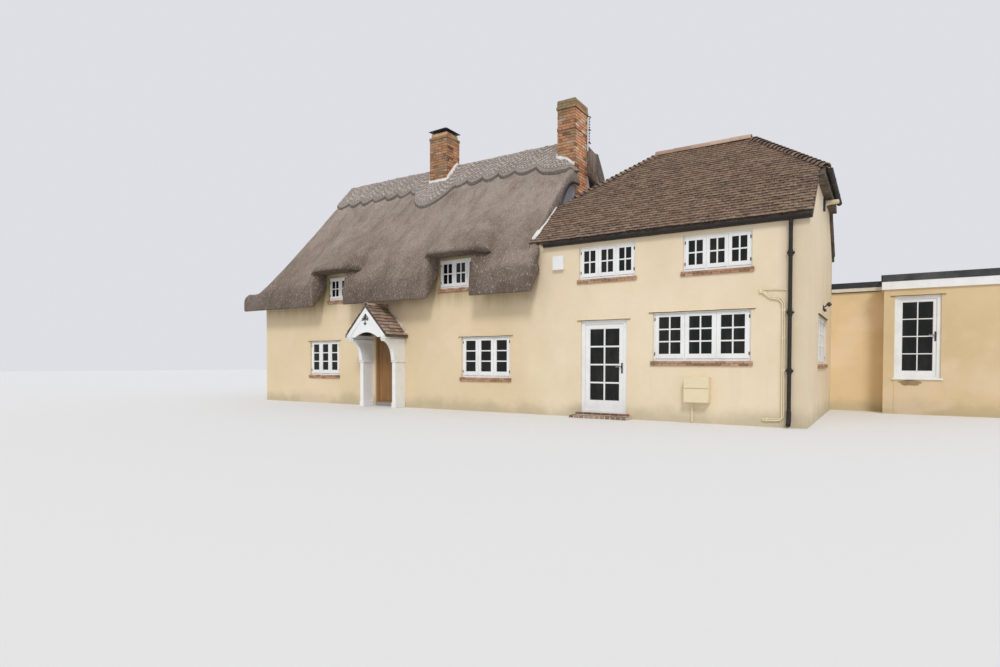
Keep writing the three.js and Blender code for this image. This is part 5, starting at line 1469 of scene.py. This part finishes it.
class Opening(NamedTuple):
    """A window's place in its wall: box() turns along, depth in from the face and height to corners."""

    wall: str
    face: float
    inward: int
    start: float
    sill: float
    width: float
    height: float

    def corner(self, along, depth, height):
        across = self.face + self.inward * depth
        return (along, across, height) if self.wall == "x" else (across, along, height)

    def box(self, a0, a1, d0, d1, z0, z1):
        return self.corner(a0, d0, z0), self.corner(a1, d1, z1)

    def directions(self):
        inward = Vector((0, self.inward, 0)) if self.wall == "x" else Vector((self.inward, 0, 0))
        return inward.cross(Vector((0, 0, 1))), inward


def casements(place, columns, rows, lap, head, foot):
    """Frame, three sashes with their bars, panes and hinges, as lists of boxes."""
    a0, a1 = place.start, place.start + place.width
    z0, z1 = place.sill, place.sill + place.height
    post = 0.06
    clear = (place.width - 4 * post) / 3
    wood = [place.box(a0, a0 + post, 0.045, 0.135, z0, z1), place.box(a1 - post, a1, 0.045, 0.135, z0, z1),
            place.box(a0 + post, a1 - post, 0.045, 0.135, z1 - post, z1),
            place.box(a0 + post, a1 - post, 0.030, 0.135, z0, z0 + post - 0.018)]
    panes = []
    hinges = []
    for light in range(3):
        a = a0 + post + light * (clear + post)
        b = a + clear
        if light:
            wood.append(place.box(a - post, a, 0.047, 0.130, z0 + post - 0.02, z1 - post + 0.01))
        left, right = a - 0.026, b + 0.026
        low, high = z0 + 0.050, z1 - 0.034
        glass_a, glass_b = a + lap, b - lap
        glass_low, glass_high = z0 + foot, z1 - head
        wood += [place.box(left, glass_a, 0.034, 0.078, low, high),
                 place.box(glass_b, right, 0.034, 0.078, low, high),
                 place.box(glass_a, glass_b, 0.034, 0.078, glass_high, high),
                 place.box(glass_a, glass_b, 0.034, 0.078, low, glass_low)]
        for column in range(1, columns):
            middle = glass_a + (glass_b - glass_a) * column / columns
            wood.append(place.box(middle - 0.014, middle + 0.014, 0.040, 0.070,
                                  glass_low - 0.004, glass_high + 0.004))
        for row in range(1, rows):
            middle = glass_low + (glass_high - glass_low) * row / rows
            wood.append(place.box(glass_a - 0.004, glass_b + 0.004, 0.041, 0.069,
                                  middle - 0.014, middle + 0.014))
        panes.append(place.box(glass_a - 0.008, glass_b + 0.008, 0.057, 0.061,
                               glass_low - 0.008, glass_high + 0.008))
        for edge, shown in ((left, light == 0), (right, light == 2)):
            for z in (low + 0.07, high - 0.13) if shown else ():
                hinges.append(place.box(edge - 0.011, edge + 0.009, 0.030, 0.046, z, z + 0.06))
    return wood, panes, hinges


def gloss_paint():
    f = Finish("gloss_paint")
    cloud = f.noise(3.0, 5.0, 0.6)
    brush = f.noise(26.0, 4.0, 0.55, (1.0, 1.0, 0.22))
    grime = f.between(0.60, 0.80, f.noise(7.0, 6.0, 0.7))
    colour = f.blend(f.between(0.40, 0.72, cloud), (0.84, 0.84, 0.825), (0.77, 0.77, 0.745))
    colour = f.blend(0.22 * grime, f.shade(colour, 0.96 + 0.08 * brush), (0.50, 0.47, 0.39))
    return f.coat(colour, 0.30 + 0.2 * cloud, brush, 0.0012, 0.4)


def window_glass():
    f = Finish("window_glass", Specular_IOR_Level=0.30)
    cloud = f.noise(1.5, 3.0, 0.55)
    room = f.between(0.42, 0.66, f.noise(4.5, 4.0, 0.6, (1.0, 1.0, 0.35)))
    # The glass is near black: painted shade standing for the unlit rooms behind it, varied a little.
    colour = f.blend(room, (0.003, 0.0035, 0.003), (0.014, 0.015, 0.011))
    return f.coat(colour, 0.04 + 0.06 * cloud, cloud, 0.002, 0.5)


def iron_paint():
    f = Finish("iron_paint")
    cloud = f.noise(12.0, 5.0, 0.6)
    return f.coat(f.blend(cloud, (0.010, 0.010, 0.011), (0.035, 0.033, 0.031)), 0.34 + 0.25 * cloud,
                  f.noise(60.0), 0.0008)


SILL_TILE_WIDTH = 0.16


def tile_sill(place, courses):
    """Tiles side by side below a window, falling outwards and 40 mm longer than it at each end."""
    along, inward = place.directions()
    pitch = (inward + Vector((0, 0, 0.11))).normalized()
    run = []
    start, end = place.start - 0.04, place.start + place.width + 0.04
    count = max(3, round((end - start) / (SILL_TILE_WIDTH + 0.005)))
    for course in range(courses):
        odd = course % 2
        inner = [start + (end - start) * (i + odd / 2) / count for i in range(1 - odd, count)]
        joints = [start, *inner, end]
        for a, b in zip(joints, joints[1:]):
            middle = Vector(place.corner((a + b) / 2, 0.006 * course, place.sill + 0.002 - 0.042 * course))
            run.append((middle, turn_of(along, pitch), ((b - a - 0.006) / SILL_TILE_WIDTH, 1, 1.05)))
    return run


def drip_ledge(name, place, finish):
    """A small ledge struck in the render over an opening and a little beyond it, with a dark strip below as
    painted shadow.
    """
    outward = -place.directions()[1]
    path = [(place.corner(a, 0, place.sill + place.height + 0.006 + 0.002 * math.sin(9 * a)), outward)
            for a in np.linspace(place.start - 0.075, place.start + place.width + 0.075, 12)]
    ledge = profile((-0.01, 0.0), (0.036, 0.0), (0.034, 0.016), (-0.01, 0.034))
    # A thin dark strip under the ledge, a painted shadow.
    grime = profile((-0.01, -0.012), (0.026, -0.010), (0.033, 0.002), (-0.01, 0.002))
    finished(swept_strip(name, path, ledge), finish)
    finished(swept_strip(name.replace("ledge", "grime"), path, grime), drip_grime)


# Dark mortar for the painted shadow strips under the drip ledges.
drip_grime = lime_mortar("drip_grime", (0.085, 0.07, 0.035), (0.20, 0.16, 0.085))
front_wall = ("x", -0.15, 1)
back_wall = ("x", 5.25, -1)
gable_wall = ("y", 0.15, -1)
window_places = {
    "wing_upper_left": (Opening(*front_wall, -4.268, 2.937, 1.246, 0.706), 2, 2, 0.036, 0.098, 0.130),
    "wing_upper_right": (Opening(*front_wall, -2.052, 2.935, 1.267, 0.699), 2, 2, 0.036, 0.098, 0.130),
    "wing_lower": (Opening(*front_wall, -2.643, 1.194, 1.848, 0.972), 2, 3, 0.053, 0.092, 0.147),
    "cottage_lower_left": (Opening(*front_wall, -12.842, 0.798, 1.190, 0.980), 1, 3, 0.042, 0.095, 0.150),
    "cottage_lower_right": (Opening(*front_wall, -7.391, 0.800, 1.384, 0.985), 1, 3, 0.048, 0.095, 0.150),
    "cottage_upper_left": (Opening(*front_wall, -12.058, 2.905, 1.250, 0.640), 2, 2, 0.036, 0.095, 0.120),
    "cottage_upper_right": (Opening(*front_wall, -8.069, 2.985, 1.250, 0.705), 2, 2, 0.036, 0.098, 0.125),
    "back_lower_left": (Opening(*back_wall, -12.300, 0.800, 1.250, 0.980), 1, 3, 0.042, 0.095, 0.150),
    "back_lower_right": (Opening(*back_wall, -8.150, 0.800, 1.250, 0.980), 1, 3, 0.042, 0.095, 0.150),
    "back_upper_left": (Opening(*back_wall, -12.100, 2.950, 1.250, 0.700), 2, 2, 0.036, 0.098, 0.125),
    "back_upper_right": (Opening(*back_wall, -8.070, 2.950, 1.250, 0.700), 2, 2, 0.036, 0.098, 0.125),
    "back_wing": (Opening(*back_wall, -3.900, 2.800, 1.250, 0.700), 2, 2, 0.036, 0.098, 0.125),
    "gable": (Opening(*gable_wall, 1.750, 1.140, 2.000, 1.020), 2, 3, 0.053, 0.092, 0.147),
}
white_gloss = gloss_paint()
pane_glass = window_glass()
black_paint = iron_paint()
sill_clay = fired_clay("sill_clay", (0.26, 0.135, 0.075), (0.42, 0.24, 0.14), (0.52, 0.33, 0.21), 0.35)
one_sill_tile = eased_block("sill_tile", (SILL_TILE_WIDTH, 0.094, 0.040), (0, 0.002, -0.020), 0.005)
sill_run = []
for name, (place, columns, rows, lap, head, foot) in window_places.items():
    node = "window_" + name
    wood, panes, hinges = casements(place, columns, rows, lap, head, foot)
    finished(boards("casements_" + name, wood), white_gloss, replaces=[node])
    finished(boards("panes_" + name, panes, 0.001), pane_glass, replaces=[node])
    finished(boards("butt_hinges_" + name, hinges, 0.002), black_paint)
    sill_run += tile_sill(place, 2)
    if "lower" in name or name == "gable":
        drip_ledge("drip_ledge_" + name, place, house_render)
laid_run("window_sills", one_sill_tile, sill_run, 0.008, 31, sill_clay)
bpy.data.objects.remove(one_sill_tile)


# Doors: two glazed ones in painted softwood, eight panes each with a broad bottom rail, and black
# lever handles on tall plates. The front door in the porch is ledged oak boards with forged nails.
# Everything screwed to a leaf turns with it.
def glazing_bars(name, body, x0, x1, z0, z1, leaf_y, thick):
    """Bars and beads planted in a leaf's opening, a little proud of its face."""
    half = thick / 2
    middle = (x0 + x1) / 2
    boxes = [((middle - half, leaf_y - 0.003, z0 + 0.004), (middle + half, leaf_y + 0.018, z1 - 0.004))]
    for row in (1, 2, 3):
        z = z0 + (z1 - z0) * row / 4
        boxes.append(((x0 + 0.004, leaf_y - 0.002, z - half), (x1 - 0.004, leaf_y + 0.017, z + half)))
    for a, b in (((x0 - 0.001, z0), (x0 + 0.011, z1)), ((x1 - 0.011, z0), (x1 + 0.001, z1)),
                 ((x0, z0 - 0.001), (x1, z0 + 0.011)), ((x0, z1 - 0.011), (x1, z1 + 0.001))):
        boxes.append(((a[0], leaf_y + 0.004, a[1]), (b[0], leaf_y + 0.017, b[1])))
    finished(boards(name, boxes, 0.004), white_gloss, body=body)


def lever_handle(name, body, leaf_right, handle_in, leaf_y, sill, finish):
    """A long plate with a turned-down lever, which takes the whole of the plain one below it."""
    x = leaf_right - handle_in
    z = sill + 0.95
    plate = boards("plate", [((x - 0.0195, leaf_y - 0.0095, z - 0.1115),
                              (x + 0.0195, leaf_y + 0.002, z + 0.1115))], 0.005)
    rose = tube("rose", [(x, leaf_y - 0.009, z + 0.03), (x, leaf_y - 0.0515, z + 0.03)], 0.0155, 14)
    grip = boards("grip", [((x - 0.1215, leaf_y - 0.0515, z + 0.0185),
                            (x + 0.0115, leaf_y - 0.0345, z + 0.0415))], 0.006)
    keyhole = tube("keyhole", [(x, leaf_y - 0.008, z - 0.065), (x, leaf_y - 0.0125, z - 0.065)], 0.009, 12)
    finished(as_one(name, [plate, rose, grip, keyhole]), finish, body=body, smooth=True)


glazing_bars("wing_door_bars", "wing_door", -4.041, -3.366, 0.358, 1.888, -0.085, 0.034)
glazing_bars("garden_room_door_bars", "garden_room_door", 1.618, 2.212, 0.989, 2.578, 4.715, 0.024)
lever_handle("wing_door_handle", "wing_door", -3.256, 0.055, -0.085, 0.103, black_paint)
lever_handle("garden_room_door_handle", "garden_room_door", 2.288, 0.038, 4.715, 0.829, black_paint)
lever_handle("front_door_handle", "front_door", -9.415, 0.055, -0.085, 0.103, black_paint)
finish_nodes(white_gloss, "wing_door_frame", "wing_door_leaf", "garden_room_door_frame",
             "garden_room_door_leaf", "porch_frame")
finish_nodes(pane_glass, "wing_door_glass", "garden_room_door_glass")
drip_ledge("drip_ledge_wing_door", Opening(*front_wall, -4.216, 0.103, 1.025, 1.960), house_render)
drip_ledge("drip_ledge_garden_room", Opening("x", 4.65, 1, 1.477, 0.829, 0.876, 1.890), annexe_render)
finished(boards("garden_room_door_sill", [((1.437, 4.600, 0.795), (2.393, 4.72, 0.832))], 0.005),
         white_gloss)


def weathered_oak():
    f = Finish("weathered_oak")
    grain = f.noise(3.0, 8.0, 0.6, (9.0, 9.0, 0.35), 0.8)
    fibre = f.noise(14.0, 5.0, 0.6, (9.0, 9.0, 0.2))
    cloud = f.noise(2.0, 4.0, 0.6)
    colour = f.node("ShaderNodeValToRGB", {"stops": [
        (0.0, (0.085, 0.038, 0.012)), (0.4, (0.235, 0.115, 0.036)), (0.7, (0.33, 0.17, 0.058)),
        (1.0, (0.17, 0.085, 0.03))]}, 0.65 * grain + 0.35 * fibre)
    return f.coat(f.shade(colour, 0.78 + 0.44 * cloud), 0.55 + 0.2 * fibre, 0.7 * grain + 0.5 * fibre, 0.003)


oak = weathered_oak()
LEAF_FROM_X = -10.165
PLANK_WIDTH = 0.730 / 6
PLANK_GAP = 0.0015
planks = [((LEAF_FROM_X + PLANK_WIDTH * i + PLANK_GAP, -0.093, 0.158),
           (LEAF_FROM_X + PLANK_WIDTH * (i + 1) - PLANK_GAP, -0.083, 1.876)) for i in range(6)]
finished(boards("front_door_planks", planks, 0.0035), oak, body="front_door")
nails = [tube("nail", [(LEAF_FROM_X + PLANK_WIDTH * (i + share), y, z) for y in (-0.092, -0.0965)], 0.006, 8)
         for i in range(6) for share in (0.28, 0.72) for z in (0.38, 1.02, 1.66)]
finished(as_one("front_door_nails", nails), black_paint, body="front_door")
finish_nodes(oak, "front_door_frame", "front_door_leaf")


# Porch: a boarded and painted gable on curved brackets, with raking bargeboards and returned feet.
# Small tiles cover it, bedded in lime against the wall, with half-rounds along its ridge. A plain
# scroll of black iron hangs on the gable.
PORCH_X = -9.82
PORCH_HALF = 0.715
PORCH_RIDGE = 2.61
PORCH_SLOPE = 1.057
PORCH_FRONT = -0.955
PORCH_GAUGE = 0.118


def porch_tiles():
    tiles = TiledPlane()
    foot_z = PORCH_RIDGE - PORCH_SLOPE * PORCH_HALF
    length = PORCH_HALF * math.hypot(1, PORCH_SLOPE)
    for side in (-1, 1):
        edges = (PORCH_FRONT + 0.006, -0.155) if side > 0 else (0.155, -PORCH_FRONT - 0.006)
        tiles.cover((PORCH_X + side * PORCH_HALF, 0, foot_z), (0, side, 0), (-side, 0, PORCH_SLOPE),
                    int(length / PORCH_GAUGE) + 1, lambda height: edges, 0.158, PORCH_GAUGE, 0.006)
    return tiles.run


small_tile = tile_unit()
porch_clay = fired_clay("porch_clay", (0.22, 0.135, 0.095), (0.33, 0.21, 0.15), (0.44, 0.31, 0.235), 0.8)
laid_run("porch_tiles", small_tile, porch_tiles(), 0.02, 41, porch_clay)
bpy.data.objects.remove(small_tile)
half_round = arched_unit("half_round", 0.27, 0.082, 0.080, 0.013, math.radians(80), 0.004)
laid_run("porch_ridge_tiles", half_round,
         along_line(0.265, (PORCH_X, PORCH_FRONT + 0.004, PORCH_RIDGE + 0.035),
                    (PORCH_X, -0.13, PORCH_RIDGE + 0.035)),
         0.012, 42, porch_clay)
bpy.data.objects.remove(half_round)
finish_nodes(deck_finish, "porch_roof")


def raking_board(side, top, deep, y0, y1, reach):
    """A board along one rake of the gable, cut plumb at the apex and level at its foot."""
    apex = PORCH_RIDGE - top
    foot_x = PORCH_X + side * reach
    foot_z = apex - PORCH_SLOPE * reach
    outline = [(PORCH_X, apex), (foot_x, foot_z), (foot_x, foot_z - 0.035),
               (foot_x - side * (deep - 0.035) / PORCH_SLOPE, foot_z - 0.035), (PORCH_X, apex - deep)]
    return skinned("raking_board", [[(x, y, z) for x, z in outline] for y in (y0, y1)])


rakes = []
for side in (-1, 1):
    rakes.append(raking_board(side, 0.050, 0.155, -0.949, -0.925, 0.690))
    rakes.append(raking_board(side, 0.046, 0.075, -0.9545, -0.925, 0.705))
    low, high = sorted((PORCH_X + side * 0.500, PORCH_X + side * 0.712))
    rakes.append(boards("returned_foot", [((low, -0.9545, 1.800), (high, -0.80, 1.832)),
                                          ((low + 0.012, -0.945, 1.765), (high - 0.012, -0.81, 1.802))],
                        0.006))
finished(as_one("porch_bargeboards", rakes), white_gloss)

mouldings = []
for side in (-1, 1):
    low, high = sorted((PORCH_X + side * 0.478, PORCH_X + side * 0.652))
    mouldings += [((low, -0.925, 1.735), (high, -0.155, 1.765)),
                  ((low + 0.012, -0.905, 1.700), (high - 0.012, -0.155, 1.738)),
                  ((low + 0.006, -0.548, 1.172), (high - 0.006, -0.155, 1.196)),
                  ((low + 0.016, -0.536, 0.0), (high - 0.016, -0.155, 0.14))]
finished(boards("porch_mouldings", mouldings, 0.008), white_gloss)

wall_joint = [((PORCH_X + x, -0.155, PORCH_RIDGE + 0.045 - PORCH_SLOPE * abs(x)), (0, -1, 0))
              for x in np.linspace(-0.70, 0.70, 33)]


def joint_section(point, outward):
    """Mortar struck up the wall from the porch tiles."""
    rough = 0.006 * math.sin(41 * point.x)
    return [point + Vector((0, 0.03, -0.06)), point + Vector((0, -0.062 - rough, -0.03)),
            point + Vector((0, -0.050 + rough, 0.008)), point + Vector((0, 0.03, 0.070 + rough))]


old_mortar = lime_mortar("old_mortar", (0.50, 0.42, 0.33), (0.68, 0.61, 0.51))
finished(swept_strip("porch_mortar", wall_joint, joint_section), old_mortar, smooth=True)


ORNAMENT_X = -9.845
ORNAMENT_Y = -0.938
ORNAMENT_Z = 2.285
SCROLL_STEPS = 14


def scroll(aside, above, radius, turns, start, direction):
    """A spiral bar, wound from its eye outwards."""
    points = []
    for i in range(int(SCROLL_STEPS * turns) + 1):
        angle = start + direction * 2 * math.pi * i / SCROLL_STEPS
        reach = radius * (0.25 + 0.75 * i / (SCROLL_STEPS * turns))
        points.append((ORNAMENT_X + aside + reach * math.cos(angle), ORNAMENT_Y - 0.001,
                       ORNAMENT_Z + above + reach * math.sin(angle)))
    return tube("scroll", points, 0.010, 8)


def straight_bar(name, places, radius):
    points = [(ORNAMENT_X + aside, ORNAMENT_Y, ORNAMENT_Z + above) for aside, above in places]
    return tube(name, points, radius, 8)


iron_bars = [scroll(-0.072, 0.005, 0.062, 1.4, 0.0, -1), scroll(0.072, 0.005, 0.062, 1.4, math.pi, 1),
             scroll(0.006, 0.105, 0.050, 1.2, -1.2, 1),
             straight_bar("stem", ((0, -0.165), (0, 0.155)), 0.011),
             straight_bar("tip", ((-0.045, -0.125), (0, -0.170), (0.045, -0.125)), 0.010)]
finished(as_one("porch_iron_scroll", iron_bars), black_paint, smooth=True)


# Rainwater: half-round gutters and a round pipe in black plastic, clipped together every couple of
# metres. They have greyed in the sun and hold a little moss. The pipe's sockets stand on
# brackets that are screwed to the wall, and it ends in a shoe.
def weathered_plastic():
    f = Finish("weathered_plastic")
    cloud = f.noise(2.6, 6.0, 0.65)
    dust = f.between(0.5, 0.72, f.noise(8.0, 6.0, 0.7))
    colour = f.blend(f.between(0.35, 0.7, cloud), (0.008, 0.006, 0.0045), (0.020, 0.015, 0.010))
    colour = f.blend(0.3 * dust, colour, (0.055, 0.045, 0.03))
    return f.coat(colour, 0.55 + 0.3 * cloud, 0.5 * dust + 0.2 * cloud, 0.001)


black_plastic = weathered_plastic()
finish_nodes(black_plastic, "front_gutter_and_downpipe", "rear_gutter", "half_hip_gutter")
GUTTER_TOP = 3.77
PIPE_X = -0.14
PIPE_Y = -0.212
GUTTERS_Y = (-0.232, 5.332)


def gutter_clip(name, along, place, centre, top, width=0.05, reach=0.0635):
    """A union clip that wraps a half-round gutter from lip to lip."""
    arcs = []
    for at in (place - width / 2, place + width / 2):
        for radius in (reach, reach - 0.006):
            arc = [(centre + radius * math.cos(angle), top + 0.004 + radius * math.sin(angle))
                   for angle in np.linspace(math.pi, 2 * math.pi, 13)]
            arcs.append([(at, across, z) if along == "x" else (across, at, z) for across, z in arc])
    return curved_shell(name, arcs)


clips = [gutter_clip("clip", "x", x, y, GUTTER_TOP) for y in GUTTERS_Y for x in (-3.35, -1.5)]
clips += [gutter_clip("clip", "x", x, y, GUTTER_TOP, 0.012, 0.0605) for y in GUTTERS_Y
          for x in np.arange(-4.9, 0.1, 0.62)]
clips += [gutter_clip("clip", "x", PIPE_X, GUTTERS_Y[0], GUTTER_TOP, 0.17)]
clips += [gutter_clip("clip", "y", y, 0.362, 4.87) for y in (1.9, 3.2)]
for z in (1.02, 2.06, 3.12):
    clips.append(tube("socket", [(PIPE_X, PIPE_Y, z + above) for above in (-0.05, 0.035, 0.05)], 0.0415, 18))
    clips.append(boards("pipe_bracket", [
        ((PIPE_X - 0.058, -0.17, z - 0.012), (PIPE_X + 0.058, -0.149, z + 0.022)),
        ((PIPE_X - 0.064, -0.216, z - 0.002), (PIPE_X - 0.04, -0.15, z + 0.018)),
        ((PIPE_X + 0.04, -0.216, z - 0.002), (PIPE_X + 0.064, -0.15, z + 0.018))], 0.003))
clips.append(tube("shoe", [(PIPE_X, PIPE_Y, 0.30), (PIPE_X, PIPE_Y, 0.15), (PIPE_X, PIPE_Y - 0.02, 0.105),
                           (PIPE_X, PIPE_Y - 0.075, 0.055)], 0.040, 18))
finished(as_one("rainwater_clips", clips), black_plastic, smooth=True)


# Small fittings: cream-painted waste pipes clipped to the wall beside the rainwater pipe, the bare
# white bell box under the eave, a cream meter cupboard on the wall, and a lamp and a floodlight on
# the gable, all screwed on.
def cream_paint():
    f = Finish("cream_paint")
    cloud = f.noise(4.0, 5.0, 0.6)
    grime = f.between(0.58, 0.76, f.noise(9.0, 6.0, 0.7))
    colour = f.blend(cloud, (0.80, 0.69, 0.47), (0.74, 0.62, 0.40))
    return f.coat(f.blend(0.25 * grime, colour, (0.45, 0.36, 0.2)), 0.5 + 0.2 * cloud, cloud, 0.001)


cream = cream_paint()
WASTE_Y = -0.178
waste = []
for off, radius in ((0.0, 0.013), (0.030, 0.011)):
    bends = ((-0.64 + 0.3 * off, 2.462 + off), (-0.597, 2.446 + off), (-0.500, 2.362 + off),
             (-0.462, 2.335 + off), (-0.355, 2.316 + off), (-0.315 + off, 2.296 + off),
             (-0.272 + off, 2.235 + 0.6 * off), (-0.262 + off, 2.18), (-0.262 + off, 1.2),
             (-0.262 + off, 0.30), (-0.262 + off, 0.165 + off), (-0.285 + off, 0.130 + off),
             (-0.36, 0.120 + off), (-0.585, 0.120 + off))
    waste.append(tube("waste_pipe", [(x, WASTE_Y, z) for x, z in bends], radius, 10))
waste.append(tube("waste_pipe", [(-0.60, -0.173, 2.500), (-0.40, -0.173, 2.492), (-0.20, -0.173, 2.476),
                                 (-0.155, -0.173, 2.466)], 0.011, 10))
waste += [boards("pipe_clip", [((-0.285, -0.184, z), (-0.205, -0.148, z + 0.022))], 0.004)
          for z in (0.45, 1.02, 1.60, 2.10)]
waste += [boards("pipe_clip", [((x, -0.184, z - 0.02), (x + 0.022, -0.148, z + 0.055))], 0.004)
          for x, z in ((-0.56, 2.42), (-0.42, 2.325), (-0.52, 0.115))]
waste.append(boards("pipe_end", [((-0.655, -0.19, 2.435), (-0.615, -0.148, 2.515))], 0.006))
finished(as_one("waste_pipes", waste), cream, smooth=True)

bell_box = boards("bell", [((-4.875, -0.225, 3.190), (-4.617, -0.15, 3.490)),
                           ((-4.862, -0.2245, 3.205), (-4.630, -0.222, 3.475))], 0.018)
lens = boards("lens", [((-4.800, -0.2245, 3.1905), (-4.692, -0.165, 3.216))], 0.006)
finished(as_one("bell_box_cover", [bell_box, lens]), white_gloss, smooth=True,
         replaces=["alarm_box"])

cupboard = boards("cupboard", [((-1.971, -0.338, 0.400), (-1.500, -0.15, 0.880))], 0.010)
lids = boards("lids", [((-1.966, -0.360, 0.679), (-1.505, -0.336, 0.884)),
                       ((-1.966, -0.360, 0.406), (-1.505, -0.336, 0.672)),
                       ((-1.974, -0.345, 0.872), (-1.497, -0.15, 0.890))], 0.007)
finished(as_one("meter_cupboard", [cupboard, lids]), cream, smooth=True,
         replaces=["meter_box"])
lock = tube("meter_lock", [(-1.738, -0.356, 0.660), (-1.738, -0.3599, 0.660)], 0.009, 12)
finished(lock, black_paint)
feed = tube("meter_feed", [(-1.842, -0.195, 0.42), (-1.842, -0.195, 0.06), (-1.842, -0.190, 0.02)], 0.016, 12)
finished(feed, cream, smooth=True)

lamp = [tube("lamp_arm", [(0.150, 2.80, 2.38), (0.195, 2.795, 2.39), (0.228, 2.785, 2.425),
                          (0.255, 2.78, 2.44)], 0.015, 10),
        tube("lamp_rose", [(0.148, 2.80, 2.38), (0.164, 2.80, 2.38)], 0.048, 16),
        tube("lamp_hood", [(0.248, 2.785, 2.460), (0.264, 2.778, 2.442), (0.290, 2.770, 2.406)], 0.042, 14),
        tube("lamp_box", [(0.158, 2.80, 2.34), (0.188, 2.79, 2.325), (0.198, 2.785, 2.285)], 0.028, 12)]
finished(as_one("gable_lamp", lamp), black_paint, smooth=True)
flood = [boards("flood_body", [((0.185, 2.700, 4.590), (0.430, 2.860, 4.655)),
                               ((0.165, 2.745, 4.565), (0.235, 2.815, 4.60))], 0.012),
         tube("flood_arm", [(0.148, 2.78, 4.60), (0.24, 2.78, 4.60)], 0.018, 12)]
finished(as_one("gable_floodlight", flood), cream, smooth=True)
sounder = boards("gable_sounder", [((0.148, 2.50, 4.40), (0.190, 2.63, 4.66))], 0.012)


def dark_blue():
    f = Finish("dark_blue_plastic")
    cloud = f.noise(8.0, 4.0, 0.6)
    colour = f.blend(cloud, (0.012, 0.017, 0.06), (0.022, 0.03, 0.09))
    return f.coat(colour, 0.42 + 0.2 * cloud, cloud, 0.0006)


finished(sounder, dark_blue(), smooth=True)


# Steps: two low treads at the wing's door. The lower is brick on edge, the upper is nosed with red
# quarry tiles, all bedded in mortar on brick footings.
QUARRY_WIDTH = 0.20
BRICK_DEPTH = 0.105


def tread_row(x0, x1, y, z, pitch, joint, wide):
    """A row of units of this width from one end of a step to the other."""
    count = round((x1 - x0) / pitch)
    step = (x1 - x0) / count
    return [(Vector((x0 + step * (i + 0.5), y, z)), (0.0, 0.0, 0.0), ((step - joint) / wide, 1, 1))
            for i in range(count)]


step_clay = fired_clay("step_clay", (0.12, 0.052, 0.035), (0.22, 0.098, 0.062), (0.32, 0.16, 0.10), 0.5)
worn_clay = fired_clay("worn_clay", (0.16, 0.10, 0.062), (0.27, 0.175, 0.11), (0.36, 0.25, 0.165), 0.8)
quarry_tile = eased_block("quarry_tile", (QUARRY_WIDTH, 0.135, 0.030), (0, 0, -0.015), 0.006)
upper_row = tread_row(-4.290, -3.117, -0.2125, 0.1045, 0.20, 0.008, QUARRY_WIDTH)
laid_run("upper_tread", quarry_tile, upper_row, 0.006, 51, step_clay)
brick_on_edge = eased_block("brick_on_edge", (BRICK_DEPTH, BRICK_LENGTH, 0.055), (0, 0, -0.0275), 0.006)
lower_row = tread_row(-4.340, -3.067, -0.3765, 0.0585, 0.115, 0.010, BRICK_DEPTH)
laid_run("lower_tread", brick_on_edge, lower_row, 0.008, 52, worn_clay)
for unit in (quarry_tile, brick_on_edge):
    bpy.data.objects.remove(unit)
finish_nodes(old_mortar, "wing_door_steps")


# Garden room and link: a felted flat roof in two levels. Black felt is dressed down over a drip at
# the edge, above a white fascia on the garden room and a pale band of render along the link.
def roof_felt():
    f = Finish("roof_felt")
    cloud = f.noise(1.4, 6.0, 0.65)
    pond = f.between(0.5, 0.66, f.noise(0.7, 4.0, 0.6))
    colour = f.blend(f.between(0.35, 0.65, cloud), (0.026, 0.028, 0.032), (0.060, 0.062, 0.068))
    colour = f.blend(0.35 * pond, colour, (0.115, 0.11, 0.095))
    return f.coat(colour, 0.8 + 0.15 * cloud, 0.5 * f.noise(120.0, 2.0) + cloud, 0.003)


felt = roof_felt()
finish_nodes(felt, "annexe_flat_roof")

drips = boards("drips", [
    ((1.205, 4.592, 3.055), (3.689, 4.62, 3.214)), ((1.205, 4.592, 3.055), (1.23, 5.215, 3.214)),
    ((3.664, 4.592, 3.055), (3.689, 8.039, 3.214)), ((1.205, 8.015, 3.055), (3.689, 8.039, 3.214)),
    ((0.152, 5.190, 3.012), (1.224, 5.214, 3.149))], 0.006)
finished(drips, felt)
fascias = boards("fascias", [
    ((1.218, 4.602, 2.872), (3.682, 4.648, 3.058)), ((1.222, 4.605, 2.872), (1.262, 5.20, 3.058)),
    ((3.652, 4.602, 2.872), (3.682, 8.032, 3.058)), ((1.215, 8.002, 2.872), (3.682, 8.032, 3.058))], 0.004)
finished(fascias, white_gloss)
pale_band = lime_mortar("pale_band", (0.66, 0.60, 0.50), (0.76, 0.71, 0.62))
finished(boards("link_band", [((0.152, 5.200, 2.925), (1.222, 5.248, 3.014))], 0.005), pale_band)




# Threshold: render closes the wall below the garden-room door. A scab of it has come away there and
# shows the brown backing.
def bare_patch():
    rim = []
    for i in range(22):
        angle = 2 * math.pi * i / 22
        rough = 1 + 0.16 * math.sin(5 * angle) + 0.1 * math.sin(9 * angle + 1)
        high = 0.055 + 0.03 * (math.sin(angle) > 0)
        rim.append((1.79 + 0.20 * rough * math.cos(angle), 0.715 + high * rough * math.sin(angle)))
    return skinned("bare_patch", [[(x, y, z) for x, z in rim] for y in (4.642, 4.636)])


threshold = boards("threshold_render", [((1.4775, 4.6405, 0.0), (2.3525, 4.6495, 0.827))], 0.001)
finished(threshold, annexe_render)
finished(bare_patch(), lime_mortar("bare_backing", (0.26, 0.17, 0.09), (0.36, 0.25, 0.14)))
